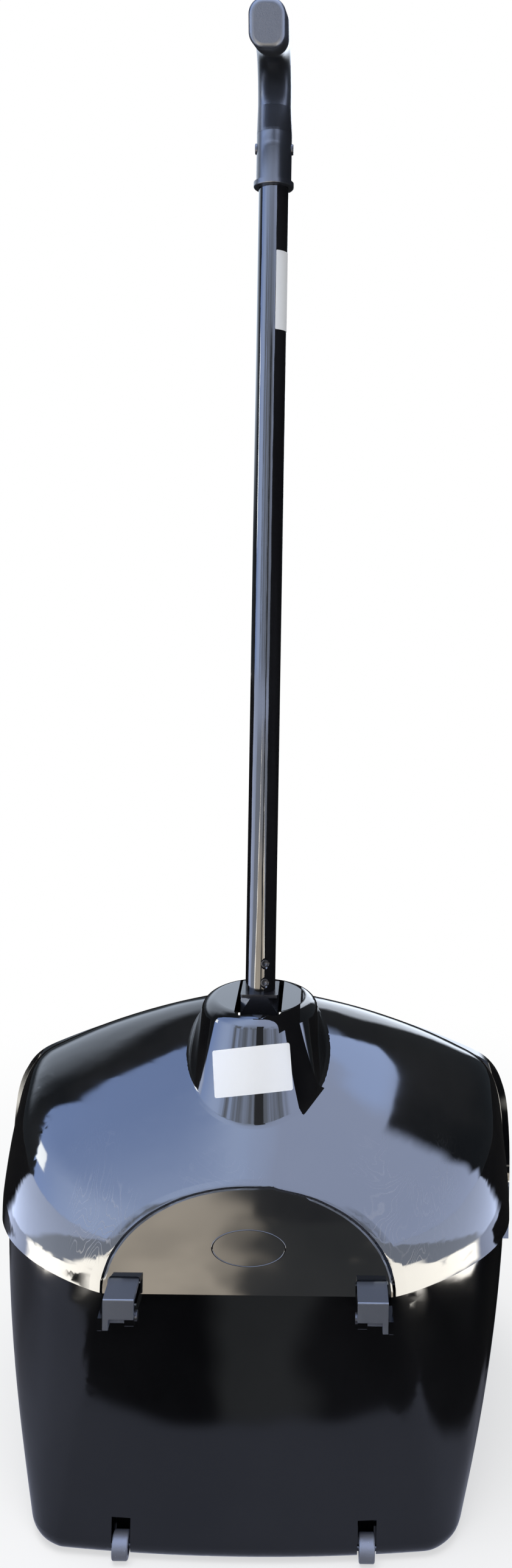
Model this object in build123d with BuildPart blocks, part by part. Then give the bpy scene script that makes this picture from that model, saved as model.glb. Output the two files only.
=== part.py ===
"""Upright dustpan: a deep pan under a domed hood that hinges at the rear, on two
rollers, with a pole that tilts in a conical boss and ends in a drooping grip.

Millimetres, +X right and +Y forward to the mouth as seen by the person holding it,
+Z up, with the floor at Z = 0. The pole stands on the plane X = 0.
"""
import os
from math import atan2, cos, radians, sin, sqrt

from build123d import *

# Fits
RUNNING_FIT = 0.05  # radial, a pin that turns
FIXED_FIT = 0.02  # radial, a pin that is held
BODY_GAP = 0.4  # between pieces that move past each other

# Fore-and-aft layout
POLE_Y = -50.0  # pole axis
HOOD_REAR_Y = POLE_Y - 79.0  # flat rear facet
HOOD_WIDEST_Y = POLE_Y + 6.0
HOOD_RIDGE_Y = POLE_Y + 32.0
HOOD_FRONT_Y = POLE_Y + 60.0
PAN_LIP_Y = POLE_Y + 200.0

# Hood
HOOD_WALL = 2.5
HOOD_ROOF_WALL = 3.0  # measured upright through the sloping roof
HOOD_RIM_Z = 152.0
HOOD_HALF_WIDTH = 162.0
HOOD_FRONT_HALF_WIDTH = HOOD_HALF_WIDTH + 2.0
HOOD_PLAN_POWER = 1.8
FACET_HALF_WIDTH = HOOD_HALF_WIDTH * 0.517
FACET_TOP_Z = HOOD_RIM_Z + 62.0
FACET_EDGE = 3.2  # depth of the rounded edge round the facet
RIDGE_Z = HOOD_RIM_Z + 130.0
RIDGE_ROUND = 45.0  # radius of the roll from the straight slope to the ridge
HOOD_FRONT_TOP_Z = RIDGE_Z - 18.0
# Half cross-section at the ridge, as shares of the half-width and of the height over the rim
RIDGE_ARCH = (
    (1.0, 0.0),
    (0.998, 0.17),
    (0.99, 0.34),
    (0.975, 0.48),
    (0.945, 0.585),
    (0.9, 0.655),
    (0.82, 0.715),
    (0.7, 0.785),
    (0.52, 0.87),
    (0.36, 0.93),
    (0.2, 0.975),
    (0.0, 1.0),
)
HOOD_STEPS = 12
FLANGE_REACH = 6.0
FLANGE_DEPTH = 8.0
TAB_WIDTH = 4.0
TAB_DROP = 44.0  # side tabs below the rim
REST_RIB_WIDTH = 2.5
REST_RIB_REACH = 8.5
REST_RIB_HEIGHT = 8.0
REST_RIB_Y = (POLE_Y - 24.0, POLE_Y + 40.0)
REST_GAP = 0.3

# Boss on the hood, with the slot that the pole tilts in
BOSS_TOP_Z = RIDGE_Z + 10.0
BOSS_TOP_RADIUS = 35.0
BOSS_FLARE = 0.28  # radius gained for each millimetre down
BOSS_ROOT_Z = FACET_TOP_Z + 2.0
BOSS_EDGE = 9.0
BOSS_FOOT = 4.0  # radius where the boss meets the roof
BOSS_WALL = 3.0
BOSS_ROOF = 4.0
SLOT_WIDTH = 29.0
SLOT_LENGTH = 60.0
SLOT_CORNER = 5.0
CHEEK_GAP = 0.3  # slot side to cheek face
CHEEK_WALL = 4.0
CHEEK_DEPTH = 26.0
CHEEK_DROP = 13.0  # below the pivot axis

# Handle pivot
PIVOT_Z = BOSS_TOP_Z - 27.0
PIVOT_PIN_RADIUS = 4.0
PIVOT_HEAD_RADIUS = 6.5
PIVOT_HEAD_LENGTH = 2.0
PIVOT_CLIP_RADIUS = 7.0
PIVOT_CLIP_LENGTH = 1.2
PIVOT_PIN_TAIL = 2.0  # pin end past its clip
BUSH_WALL = 1.5
WASHER_RADIUS = 10.0

# Pivot block and pole
BLOCK_WIDTH = 23.5
BLOCK_DEPTH = 24.0
BLOCK_PLATE = 2.0
BLOCK_PLATE_CORNER = 1.0
BLOCK_HIP = 9.0
BLOCK_HIP_CORNER = 6.3
BLOCK_FOOT_CORNER = 0.6
SPIGOT_LENGTH = 48.0
TUBE_RADIUS = 9.5
TUBE_WALL = 1.2
TUBE_FOOT_Z = BOSS_TOP_Z + 5.0
TUBE_SHOWN = 510.0  # from the block to the grip
POLE_SCREW_HEIGHTS = (6.5, 18.5)  # above the foot of the tube
POLE_SCREW_TURN = 20.0  # degrees to the right of straight back
POLE_SCREW_RADIUS = 1.5
POLE_SCREW_SEAT_RADIUS = 3.6  # countersink in the tube
POLE_SCREW_SEAT_DEPTH = 1.0
POLE_SCREW_HEAD_RADIUS = 2.6
POLE_SCREW_HEAD_SINK = 0.35
POLE_SCREW_LENGTH = 6.0

# Grip
GRIP_FOOT_Z = TUBE_FOOT_Z + TUBE_SHOWN
GRIP_RING_RADIUS = 12.8
GRIP_RING_HEIGHT = 3.4
GRIP_SLEEVE_RADIUS = 11.2
GRIP_SLEEVE_HEIGHT = 34.0
GRIP_WIDTH = 21.0
GRIP_DEPTH = 26.0
GRIP_CORNER = 8.5
GRIP_NECK = 15.0  # from the round sleeve to the flattened stem
GRIP_ELBOW_RADIUS = 32.0
GRIP_DROOP = 20.0  # degrees below level
GRIP_REACH = 100.0  # arm end behind the pole axis
GRIP_END_EDGE = 3.0
TUBE_GRIP_DEPTH = 42.0
RIVET_Z = GRIP_FOOT_Z + 25.0
RIVET_RADIUS = 2.0
RIVET_HEAD_RADIUS = 3.4
RIVET_HEAD_SINK = 0.8
RIVET_HEAD_RISE = 1.0

# Pan
PAN_WALL = 2.5
PAN_FLOOR = 3.0
PAN_RIM_Z = HOOD_RIM_Z + 3.5
PAN_HOOD_GAP = 1.6
# Points of the rim's rounded corner: share of its run, and how far inside the hood's own curve
PAN_RIM_CORNER = ((0.05, 3.0), (0.2, 1.5), (0.4, 0.8), (0.62, 0.4), (0.82, 0.2), (1.0, 0.0))
PAN_BELLY_Z = PAN_RIM_Z * 0.58  # height at which the sides swell most
PAN_BELLY = 4.5
PAN_LIP_HALF_TOP = HOOD_HALF_WIDTH - 10.5
PAN_LIP_HALF_FLOOR = HOOD_HALF_WIDTH - 10.0
PAN_FLOOR_HALF_REAR = HOOD_HALF_WIDTH - 37.0
PAN_FLOOR_CORNER = 23.0  # width of the rounded rear corner
PAN_FLOOR_CORNER_RUN = 26.0  # its length fore and aft
PAN_FLOOR_REAR_Y = POLE_Y - 76.0
PAN_FLOOR_BULGE = 5.0
PAN_BOTTOM_EDGE = 9.0
PAN_SIDE_LIP_Z = 16.0
PAN_SIDE_SAG = 18.0  # hollow of the sloping side edge
PAN_LIP_THICKNESS = 1.0
PAN_LIP_RAMP = 22.0

# Rear hinges
HINGE_X = FACET_HALF_WIDTH - 13.3
PAN_RIM_HALF_REAR = HINGE_X - 10.5  # straight part of the pan's rim at the rear
HINGE_PIN_Y = HOOD_REAR_Y - 9.5
HINGE_PIN_Z = HOOD_RIM_Z - 5.8
HINGE_PIN_RADIUS = 1.5
HINGE_HEAD_RADIUS = 2.8
HINGE_HEAD_LENGTH = 1.4
EAR_OUTER = 2.5
EAR_OUTER_REACH = 2.3  # the pan wall curves away from the outer ear
EAR_INNER = 5.0
EAR_RIM_GAP = 2.4  # ear to the hood rim above it
EAR_HEIGHT = 7.5
EAR_INNER_END = 4.0  # behind the pin axis, inside the hook
EAR_OUTER_END = 8.0  # behind the pin axis, beside the hook
EAR_CORNER = 1.0
STRAP_WIDTH = 17.0
STRAP_PLATE = 3.0
STRAP_TOP_Z = HOOD_RIM_Z + 8.4
STRAP_FRONT_DROP = 11.6
STRAP_REACH = 18.0
STRAP_BARREL_WALL = 2.2
STRAP_CHEEK = 3.0
STRAP_CHEEK_DROP = 3.4  # below the pin axis
STRAP_CHEEK_FORE = 5.5  # in front of the pin axis
STRAP_EDGE = 0.8
STRAP_BEND = 0.8  # inside radius where the strap turns up into its leaf
LEAF_SHIFT = 7.0  # leaf stands inboard of the strap
SEAT_GAP = 0.05
NOTCH_GAP = 0.8
NOTCH_CORNER = 2.5
POST_RADIUS = 3.0
POST_EDGE = 0.6  # post to the notch below it
LEAF_EDGE = 1.5  # leaf past its posts
POST_SPACING = 9.0
STRAP_SCREW_RADIUS = 1.3
STRAP_SCREW_HEAD_RADIUS = 4.0
STRAP_SCREW_HEAD_LENGTH = 1.6
STRAP_SCREW_END = 1.0  # post left solid past the screw

# Rollers
ROLLER_X = 70.0
ROLLER_RADIUS = 7.0
ROLLER_WIDTH = 9.0
ROLLER_EDGE = 1.0
ROLLER_INSET = 2.5  # axle in front of the pan's rear face
ROLLER_SIDE_GAP = 0.9
ROLLER_ROUND_GAP = 1.4
ROLLER_TOP_GAP = 10.0  # the notch is taller than the roller
ROLLER_HUB_RADIUS = 4.6
ROLLER_HUB_RECESS = 0.8
AXLE_RADIUS = 1.5
WELL_WALL = 2.2

SIDES = ((-1, "left"), (1, "right"))


def plan_half_width(y, inset):
    """Half-width of the hood's rounded plan at y, taken in by inset all round."""
    if y >= HOOD_WIDEST_Y:
        run = (y - HOOD_WIDEST_Y) / (HOOD_FRONT_Y - HOOD_WIDEST_Y)
        return HOOD_HALF_WIDTH + (HOOD_FRONT_HALF_WIDTH - HOOD_HALF_WIDTH) * run - inset
    depth = HOOD_WIDEST_Y - HOOD_REAR_Y
    reach = depth / (1 - (FACET_HALF_WIDTH / HOOD_HALF_WIDTH) ** HOOD_PLAN_POWER) ** (1 / HOOD_PLAN_POWER)
    back = (HOOD_WIDEST_Y - y) / (reach - inset)
    return (HOOD_HALF_WIDTH - inset) * (1 - back**HOOD_PLAN_POWER) ** (1 / HOOD_PLAN_POWER)


def crown_z(y):
    """Height of the hood's centre line at y: a straight slope, a roll over the ridge, and a fall."""
    rise = RIDGE_Z - FACET_TOP_Z
    reach = HOOD_RIDGE_Y - HOOD_REAR_Y
    roll = reach - sqrt(reach**2 - 2 * rise * RIDGE_ROUND)
    if y <= HOOD_RIDGE_Y - roll:
        return FACET_TOP_Z + roll / RIDGE_ROUND * (y - HOOD_REAR_Y)
    if y <= HOOD_RIDGE_Y:
        return RIDGE_Z - (HOOD_RIDGE_Y - y) ** 2 / (2 * RIDGE_ROUND)
    fall = (y - HOOD_RIDGE_Y) / (HOOD_FRONT_Y - HOOD_RIDGE_Y)
    return RIDGE_Z + (HOOD_FRONT_TOP_Z - RIDGE_Z) * fall**2


def arch_shape(y):
    """Half cross-section at y in shares: an ellipse at the rear that grows into the ridge's arch."""
    share = min((y - HOOD_REAR_Y) / (HOOD_RIDGE_Y - HOOD_REAR_Y), 1.0)
    points = []
    for across, up in RIDGE_ARCH:
        angle = atan2(up, across)
        round_across = cos(angle)
        round_up = sin(angle)
        points.append((round_across + (across - round_across) * share, round_up + (up - round_up) * share))
    return points


def draw_arch(half_width, base_z, top_z, shape):
    """Draw a closed arch that stands on base_z, as two mirrored halves."""
    points = [(half_width * across, base_z + (top_z - base_z) * up) for across, up in shape]
    points[-1] = (0, top_z)
    Spline(*points, tangents=((0, 1), (-1, 0)))
    Spline(*[(-x, z) for x, z in reversed(points)], tangents=((-1, 0), (0, -1)))
    Line((-half_width, base_z), points[0])


def cross_plane(y):
    """The upright plane across the object at y, with local x to the right and local y up."""
    return Plane.XZ.offset(-y)


def side_plane(x):
    """The upright fore-and-aft plane at x, with local x forward and local y up."""
    return Plane.YZ.offset(x)


def wall_half_width(y, z):
    """Half-width of the hood's outer face at y and height z."""
    climb = (z - HOOD_RIM_Z) / (crown_z(y) - HOOD_RIM_Z)
    shape = arch_shape(y)
    for (low_across, low_up), (high_across, high_up) in zip(shape, shape[1:]):
        if climb <= high_up:
            across = low_across + (high_across - low_across) * (climb - low_up) / (high_up - low_up)
            return plan_half_width(y, 0) * across
    return 0.0


def hood_section(y, inset, roof, base_z):
    """One cross-section of the hood, taken in by a wall and a roof thickness."""
    with BuildSketch(cross_plane(y)) as section:
        with BuildLine():
            draw_arch(plan_half_width(y, inset), base_z, crown_z(y) - roof, arch_shape(y))
        make_face()
    return section.sketch


def hood_stations(first_y, last_y):
    """Where the hood's cross-sections stand: close together at the tight rear, wider to the front."""
    shares = [(step / HOOD_STEPS) ** 1.5 for step in range(HOOD_STEPS + 1)]
    return [first_y + (last_y - first_y) * share for share in shares]


def facet_section(step, trim):
    """One cross-section of the rounded edge round the rear facet, trimmed all round."""
    y = HOOD_REAR_Y + step
    with BuildSketch(cross_plane(y)) as section:
        with BuildLine():
            draw_arch(plan_half_width(y, 0) - trim, HOOD_RIM_Z, crown_z(y) - trim, arch_shape(y))
        make_face()
    return section.sketch


def boss_section(z, inset):
    """The boss's round section at height z."""
    with BuildSketch(Plane.XY.offset(z)) as section:
        with Locations((0, POLE_Y)):
            Circle(BOSS_TOP_RADIUS + BOSS_FLARE * (BOSS_TOP_Z - z) - inset)
    return section.sketch


def cross_pin(y, z, radius, x_from, x_to, mode=Mode.ADD):
    """A round bar or hole across the object, from x_from to x_to."""
    with Locations(((x_from + x_to) / 2, y, z)):
        Cylinder(radius, abs(x_to - x_from), rotation=(0, 90, 0), mode=mode)


def write_node(piece, name):
    """Label a finished piece and write its STEP file."""
    piece.label = name
    export_step(piece, f"parts/{name}.step")


os.makedirs("parts", exist_ok=True)

# Hood shell: a loft of arches, hollowed by an inset loft, with boss, flange, tabs and ribs
CHEEK_X = SLOT_WIDTH / 2 + CHEEK_GAP
FACET_INNER_Y = HOOD_REAR_Y + HOOD_WALL
LEAF_X = HINGE_X - LEAF_SHIFT
NOTCH_TOP_Z = STRAP_TOP_Z + STRAP_BEND + NOTCH_GAP
POST_Z = NOTCH_TOP_Z + POST_EDGE + POST_RADIUS
POST_LENGTH = STRAP_PLATE + SEAT_GAP
facet_end = HOOD_REAR_Y + FACET_EDGE

with BuildPart() as hood_shell:
    facet_edge = ((0, 0.7), (0.15, 0.3), (0.5, 0.08), (1, 0))
    loft([facet_section(step * FACET_EDGE, trim * FACET_EDGE) for step, trim in facet_edge])
    loft([hood_section(y, 0, 0, HOOD_RIM_Z) for y in hood_stations(facet_end, HOOD_FRONT_Y)])
    loft([boss_section(BOSS_ROOT_Z, 0), boss_section(BOSS_TOP_Z, 0)])
    fillet(hood_shell.edges().group_by(Axis.Z)[-1], BOSS_EDGE)
    boss_foot = hood_shell.edges().filter_by(GeomType.BSPLINE)
    fillet(boss_foot.filter_by(lambda edge: edge.bounding_box().min.Z > BOSS_ROOT_Z), BOSS_FOOT)
    # Hollow
    hollow = [
        hood_section(y, HOOD_WALL, HOOD_ROOF_WALL, HOOD_RIM_Z - 1)
        for y in hood_stations(FACET_INNER_Y, HOOD_FRONT_Y + 1)
    ]
    loft(hollow, mode=Mode.SUBTRACT)
    boss_hollow = [boss_section(z, BOSS_WALL) for z in (BOSS_ROOT_Z - 1, BOSS_TOP_Z - BOSS_ROOF)]
    loft(boss_hollow, mode=Mode.SUBTRACT)
    # Front flange and its side tabs
    flange_half = HOOD_FRONT_HALF_WIDTH + FLANGE_REACH
    front_half = HOOD_FRONT_HALF_WIDTH - HOOD_WALL
    front_shape = arch_shape(HOOD_FRONT_Y)
    with BuildSketch(cross_plane(HOOD_FRONT_Y)):
        with BuildLine():
            draw_arch(flange_half, HOOD_RIM_Z, HOOD_FRONT_TOP_Z + FLANGE_REACH, front_shape)
        make_face()
        with BuildLine():
            draw_arch(front_half, HOOD_RIM_Z - 1, HOOD_FRONT_TOP_Z - HOOD_ROOF_WALL, front_shape)
        make_face(mode=Mode.SUBTRACT)
        for side, _ in SIDES:
            with Locations((side * (flange_half - TAB_WIDTH / 2), HOOD_RIM_Z - TAB_DROP / 2)):
                Rectangle(TAB_WIDTH, TAB_DROP)
    extrude(amount=FLANGE_DEPTH)
    # Ribs that rest on the pan rim
    rib_foot = PAN_RIM_Z + REST_GAP
    for y in REST_RIB_Y:
        for side, _ in SIDES:
            reach = wall_half_width(y, rib_foot + REST_RIB_HEIGHT) - HOOD_WALL / 2
            with Locations((side * (reach - REST_RIB_REACH / 2), y, rib_foot + REST_RIB_HEIGHT / 2)):
                Box(REST_RIB_REACH, REST_RIB_WIDTH, REST_RIB_HEIGHT)
    # Slot, pivot cheeks and their pin hole
    cheek_top = BOSS_TOP_Z - BOSS_ROOF / 2
    cheek_height = cheek_top - (PIVOT_Z - CHEEK_DROP)
    for side, _ in SIDES:
        with Locations((side * (CHEEK_X + CHEEK_WALL / 2), POLE_Y, cheek_top - cheek_height / 2)):
            Box(CHEEK_WALL, CHEEK_DEPTH, cheek_height)
    with BuildSketch(Plane.XY.offset(BOSS_TOP_Z)):
        with Locations((0, POLE_Y)):
            RectangleRounded(SLOT_WIDTH, SLOT_LENGTH, SLOT_CORNER)
    extrude(amount=-2 * BOSS_ROOF, mode=Mode.SUBTRACT)
    hole_end = CHEEK_X + CHEEK_WALL
    cross_pin(POLE_Y, PIVOT_Z, PIVOT_PIN_RADIUS + FIXED_FIT, -hole_end, hole_end, Mode.SUBTRACT)
    # Strap notches in the rear rim, and the screw posts beside them
    with BuildSketch(cross_plane(HOOD_REAR_Y - 1)):
        for side, _ in SIDES:
            with Locations((side * HINGE_X, HOOD_RIM_Z)):
                RectangleRounded(STRAP_WIDTH + 2 * NOTCH_GAP, 2 * (NOTCH_TOP_Z - HOOD_RIM_Z), NOTCH_CORNER)
    extrude(amount=-(HOOD_WALL + 2), mode=Mode.SUBTRACT)
    with BuildSketch(cross_plane(FACET_INNER_Y)):
        for side, _ in SIDES:
            with Locations((side * LEAF_X, POST_Z)):
                with GridLocations(POST_SPACING, 0, 2, 1):
                    Circle(POST_RADIUS)
    extrude(amount=-POST_LENGTH)
    with BuildSketch(cross_plane(FACET_INNER_Y + POST_LENGTH)):
        for side, _ in SIDES:
            with Locations((side * LEAF_X, POST_Z)):
                with GridLocations(POST_SPACING, 0, 2, 1):
                    Circle(STRAP_SCREW_RADIUS + FIXED_FIT)
    extrude(amount=POST_LENGTH, mode=Mode.SUBTRACT)
write_node(hood_shell.part, "hood_shell")

# Hinge straps: a hook that comes out through the notch, round the pin, with a leaf inside
strap_rear = HOOD_REAR_Y - STRAP_REACH
leaf_y = FACET_INNER_Y + SEAT_GAP
for side, name in SIDES:
    inner_x = HINGE_X - STRAP_WIDTH / 2
    outer_x = HINGE_X + STRAP_WIDTH / 2
    with BuildPart() as hinge_strap:
        with BuildSketch(side_plane(side * inner_x)):
            with Locations(((strap_rear + leaf_y + STRAP_PLATE) / 2, STRAP_TOP_Z - STRAP_PLATE / 2)):
                Rectangle(leaf_y + STRAP_PLATE - strap_rear, STRAP_PLATE)
            with Locations((strap_rear + STRAP_PLATE / 2, STRAP_TOP_Z - STRAP_FRONT_DROP / 2)):
                Rectangle(STRAP_PLATE, STRAP_FRONT_DROP)
            with Locations((leaf_y + (STRAP_PLATE - STRAP_BEND) / 2, STRAP_TOP_Z + STRAP_BEND / 2)):
                Rectangle(STRAP_PLATE + STRAP_BEND, STRAP_BEND)
            with Locations((leaf_y - STRAP_BEND, STRAP_TOP_Z + STRAP_BEND)):
                Circle(STRAP_BEND, mode=Mode.SUBTRACT)
        extrude(amount=side * STRAP_WIDTH)
        with BuildSketch(side_plane(side * outer_x)):
            with Locations((HINGE_PIN_Y, HINGE_PIN_Z)):
                Circle(HINGE_PIN_RADIUS + STRAP_BARREL_WALL)
            with Locations((HINGE_PIN_Y, (HINGE_PIN_Z + STRAP_TOP_Z) / 2)):
                Rectangle(HINGE_PIN_RADIUS + STRAP_BARREL_WALL, STRAP_TOP_Z - HINGE_PIN_Z)
        extrude(amount=-side * (STRAP_WIDTH - EAR_INNER - 2 * BODY_GAP))
        with BuildSketch(side_plane(side * outer_x)):
            with BuildLine():
                Polyline(
                    (strap_rear, STRAP_TOP_Z),
                    (strap_rear, HINGE_PIN_Z - STRAP_CHEEK_DROP),
                    (HINGE_PIN_Y + STRAP_CHEEK_FORE, HINGE_PIN_Z - STRAP_CHEEK_DROP),
                    (HINGE_PIN_Y + STRAP_CHEEK_FORE, STRAP_TOP_Z),
                    close=True,
                )
            make_face()
        extrude(amount=-side * STRAP_CHEEK)
        leaf_top = POST_Z + POST_RADIUS + LEAF_EDGE
        leaf_foot = STRAP_TOP_Z - STRAP_PLATE
        with Locations((side * LEAF_X, leaf_y + STRAP_PLATE / 2, (leaf_top + leaf_foot) / 2)):
            Box(STRAP_WIDTH, STRAP_PLATE, leaf_top - leaf_foot)
        rear_edges = hinge_strap.edges().filter_by(Axis.X).group_by(Axis.Y)[0]
        fillet(rear_edges, STRAP_EDGE)
        with BuildSketch(cross_plane(leaf_y)):
            with Locations((side * LEAF_X, POST_Z)):
                with GridLocations(POST_SPACING, 0, 2, 1):
                    Circle(POST_RADIUS + FIXED_FIT)
        extrude(amount=-STRAP_PLATE, mode=Mode.SUBTRACT)
        pin_hole = HINGE_PIN_RADIUS + RUNNING_FIT
        cross_pin(HINGE_PIN_Y, HINGE_PIN_Z, pin_hole, side * inner_x, side * outer_x, Mode.SUBTRACT)
    write_node(hinge_strap.part, f"hinge_strap_{name}")

# Screws that hold the strap leaves on their posts
head_y = leaf_y + STRAP_PLATE
with BuildPart() as strap_screws:
    for radius, start_y, length in (
        (STRAP_SCREW_HEAD_RADIUS, head_y + STRAP_SCREW_HEAD_LENGTH, STRAP_SCREW_HEAD_LENGTH),
        (STRAP_SCREW_RADIUS, head_y, STRAP_PLATE - STRAP_SCREW_END),
    ):
        with BuildSketch(cross_plane(start_y)):
            for side, _ in SIDES:
                with Locations((side * LEAF_X, POST_Z)):
                    with GridLocations(POST_SPACING, 0, 2, 1):
                        Circle(radius)
        extrude(amount=length)
write_node(strap_screws.part, "strap_screws")

# Pivot pin with its head on the left, washers, and the clip on the right
with BuildPart() as pivot_pin:
    pin_end = CHEEK_X + CHEEK_WALL + SEAT_GAP + PIVOT_CLIP_LENGTH + PIVOT_PIN_TAIL
    head_x = -CHEEK_X - CHEEK_WALL - SEAT_GAP
    cross_pin(POLE_Y, PIVOT_Z, PIVOT_PIN_RADIUS, head_x, pin_end)
    cross_pin(POLE_Y, PIVOT_Z, PIVOT_HEAD_RADIUS, head_x - PIVOT_HEAD_LENGTH, head_x)
    chamfer(pivot_pin.faces().sort_by(Axis.X)[-1].edges(), PIVOT_PIN_RADIUS / 8)
write_node(pivot_pin.part, "pivot_pin")

with BuildPart() as pivot_clip:
    clip_x = CHEEK_X + CHEEK_WALL + SEAT_GAP
    cross_pin(POLE_Y, PIVOT_Z, PIVOT_CLIP_RADIUS, clip_x, clip_x + PIVOT_CLIP_LENGTH)
    clip_bore = PIVOT_PIN_RADIUS + FIXED_FIT
    cross_pin(POLE_Y, PIVOT_Z, clip_bore, clip_x, clip_x + PIVOT_CLIP_LENGTH, Mode.SUBTRACT)
write_node(pivot_clip.part, "pivot_clip")

for side, name in SIDES:
    washer_from = side * (BLOCK_WIDTH / 2 + BODY_GAP)
    washer_to = side * (CHEEK_X - SEAT_GAP)
    with BuildPart() as pivot_washer:
        cross_pin(POLE_Y, PIVOT_Z, WASHER_RADIUS, washer_from, washer_to)
        washer_bore = PIVOT_PIN_RADIUS + FIXED_FIT
        cross_pin(POLE_Y, PIVOT_Z, washer_bore, washer_from, washer_to, Mode.SUBTRACT)
    write_node(pivot_washer.part, f"pivot_washer_{name}")

# Pivot block: a rounded foot on the pin, a hipped shoulder, and a spigot inside the tube
bush_radius = PIVOT_PIN_RADIUS + BUSH_WALL
spigot_radius = TUBE_RADIUS - TUBE_WALL - FIXED_FIT
plate_z = TUBE_FOOT_Z - BLOCK_PLATE
hip_z = plate_z - BLOCK_HIP
screw_direction = (sin(radians(POLE_SCREW_TURN)), -cos(radians(POLE_SCREW_TURN)), 0)


def pole_screw_planes(distance):
    """Planes square to the two pole screws, at a distance from the pole axis, facing outwards."""
    planes = []
    for height in POLE_SCREW_HEIGHTS:
        centre = (
            distance * screw_direction[0],
            POLE_Y + distance * screw_direction[1],
            TUBE_FOOT_Z + height,
        )
        planes.append(Plane(origin=centre, x_dir=(0, 0, 1), z_dir=screw_direction))
    return planes


with BuildPart() as pivot_block:
    with BuildSketch(side_plane(-BLOCK_WIDTH / 2)):
        with Locations((POLE_Y, PIVOT_Z)):
            Circle(BLOCK_DEPTH / 2)
        with Locations((POLE_Y, (PIVOT_Z + hip_z) / 2)):
            Rectangle(BLOCK_DEPTH, hip_z - PIVOT_Z)
    extrude(amount=BLOCK_WIDTH)
    for z, corner in ((hip_z, BLOCK_FOOT_CORNER), (plate_z, BLOCK_HIP_CORNER)):
        with BuildSketch(Plane.XY.offset(z)) as hip:
            with Locations((0, POLE_Y)):
                Rectangle(BLOCK_WIDTH, BLOCK_DEPTH)
            chamfer(hip.vertices(), corner)
    loft(ruled=True)
    with BuildSketch(Plane.XY.offset(plate_z)):
        with Locations((0, POLE_Y)):
            RectangleRounded(BLOCK_WIDTH, BLOCK_DEPTH, BLOCK_PLATE_CORNER)
    extrude(amount=BLOCK_PLATE)
    with BuildSketch(Plane.XY.offset(TUBE_FOOT_Z)):
        with Locations((0, POLE_Y)):
            Circle(spigot_radius)
    extrude(amount=SPIGOT_LENGTH)
    block_end = BLOCK_WIDTH / 2
    cross_pin(POLE_Y, PIVOT_Z, bush_radius + FIXED_FIT, -block_end, block_end, Mode.SUBTRACT)
    with BuildSketch(*pole_screw_planes(TUBE_RADIUS)):
        Circle(POLE_SCREW_RADIUS + FIXED_FIT)
    extrude(amount=-POLE_SCREW_LENGTH, mode=Mode.SUBTRACT)
write_node(pivot_block.part, "pivot_block")

with BuildPart() as pivot_bush:
    cross_pin(POLE_Y, PIVOT_Z, bush_radius, -BLOCK_WIDTH / 2, BLOCK_WIDTH / 2)
    bush_bore = PIVOT_PIN_RADIUS + RUNNING_FIT
    cross_pin(POLE_Y, PIVOT_Z, bush_bore, -BLOCK_WIDTH / 2, BLOCK_WIDTH / 2, Mode.SUBTRACT)
write_node(pivot_bush.part, "pivot_bush")

# Pole tube, its screws and the grip
with BuildPart() as pole_tube:
    with BuildSketch(Plane.XY.offset(TUBE_FOOT_Z)):
        with Locations((0, POLE_Y)):
            Circle(TUBE_RADIUS)
            Circle(TUBE_RADIUS - TUBE_WALL, mode=Mode.SUBTRACT)
    extrude(amount=TUBE_SHOWN + TUBE_GRIP_DEPTH)
    with Locations(*pole_screw_planes(TUBE_RADIUS - POLE_SCREW_SEAT_DEPTH / 2)):
        Cone(
            POLE_SCREW_RADIUS + FIXED_FIT,
            POLE_SCREW_SEAT_RADIUS,
            POLE_SCREW_SEAT_DEPTH,
            mode=Mode.SUBTRACT,
        )
    with BuildSketch(*pole_screw_planes(TUBE_RADIUS)):
        Circle(POLE_SCREW_RADIUS + FIXED_FIT)
    extrude(amount=-2 * TUBE_WALL, mode=Mode.SUBTRACT)
    cross_pin(POLE_Y, RIVET_Z, RIVET_RADIUS + FIXED_FIT, -TUBE_RADIUS, TUBE_RADIUS, Mode.SUBTRACT)
write_node(pole_tube.part, "pole_tube")

with BuildPart() as pole_screws:
    head_length = POLE_SCREW_SEAT_DEPTH - POLE_SCREW_HEAD_SINK
    head_middle = TUBE_RADIUS - (POLE_SCREW_SEAT_DEPTH + POLE_SCREW_HEAD_SINK) / 2
    with Locations(*pole_screw_planes(head_middle)):
        Cone(POLE_SCREW_RADIUS, POLE_SCREW_HEAD_RADIUS, head_length)
    with BuildSketch(*pole_screw_planes(TUBE_RADIUS - POLE_SCREW_SEAT_DEPTH)):
        Circle(POLE_SCREW_RADIUS)
    extrude(amount=-(POLE_SCREW_LENGTH - 2 * POLE_SCREW_SEAT_DEPTH))
write_node(pole_screws.part, "pole_screws")

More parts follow.
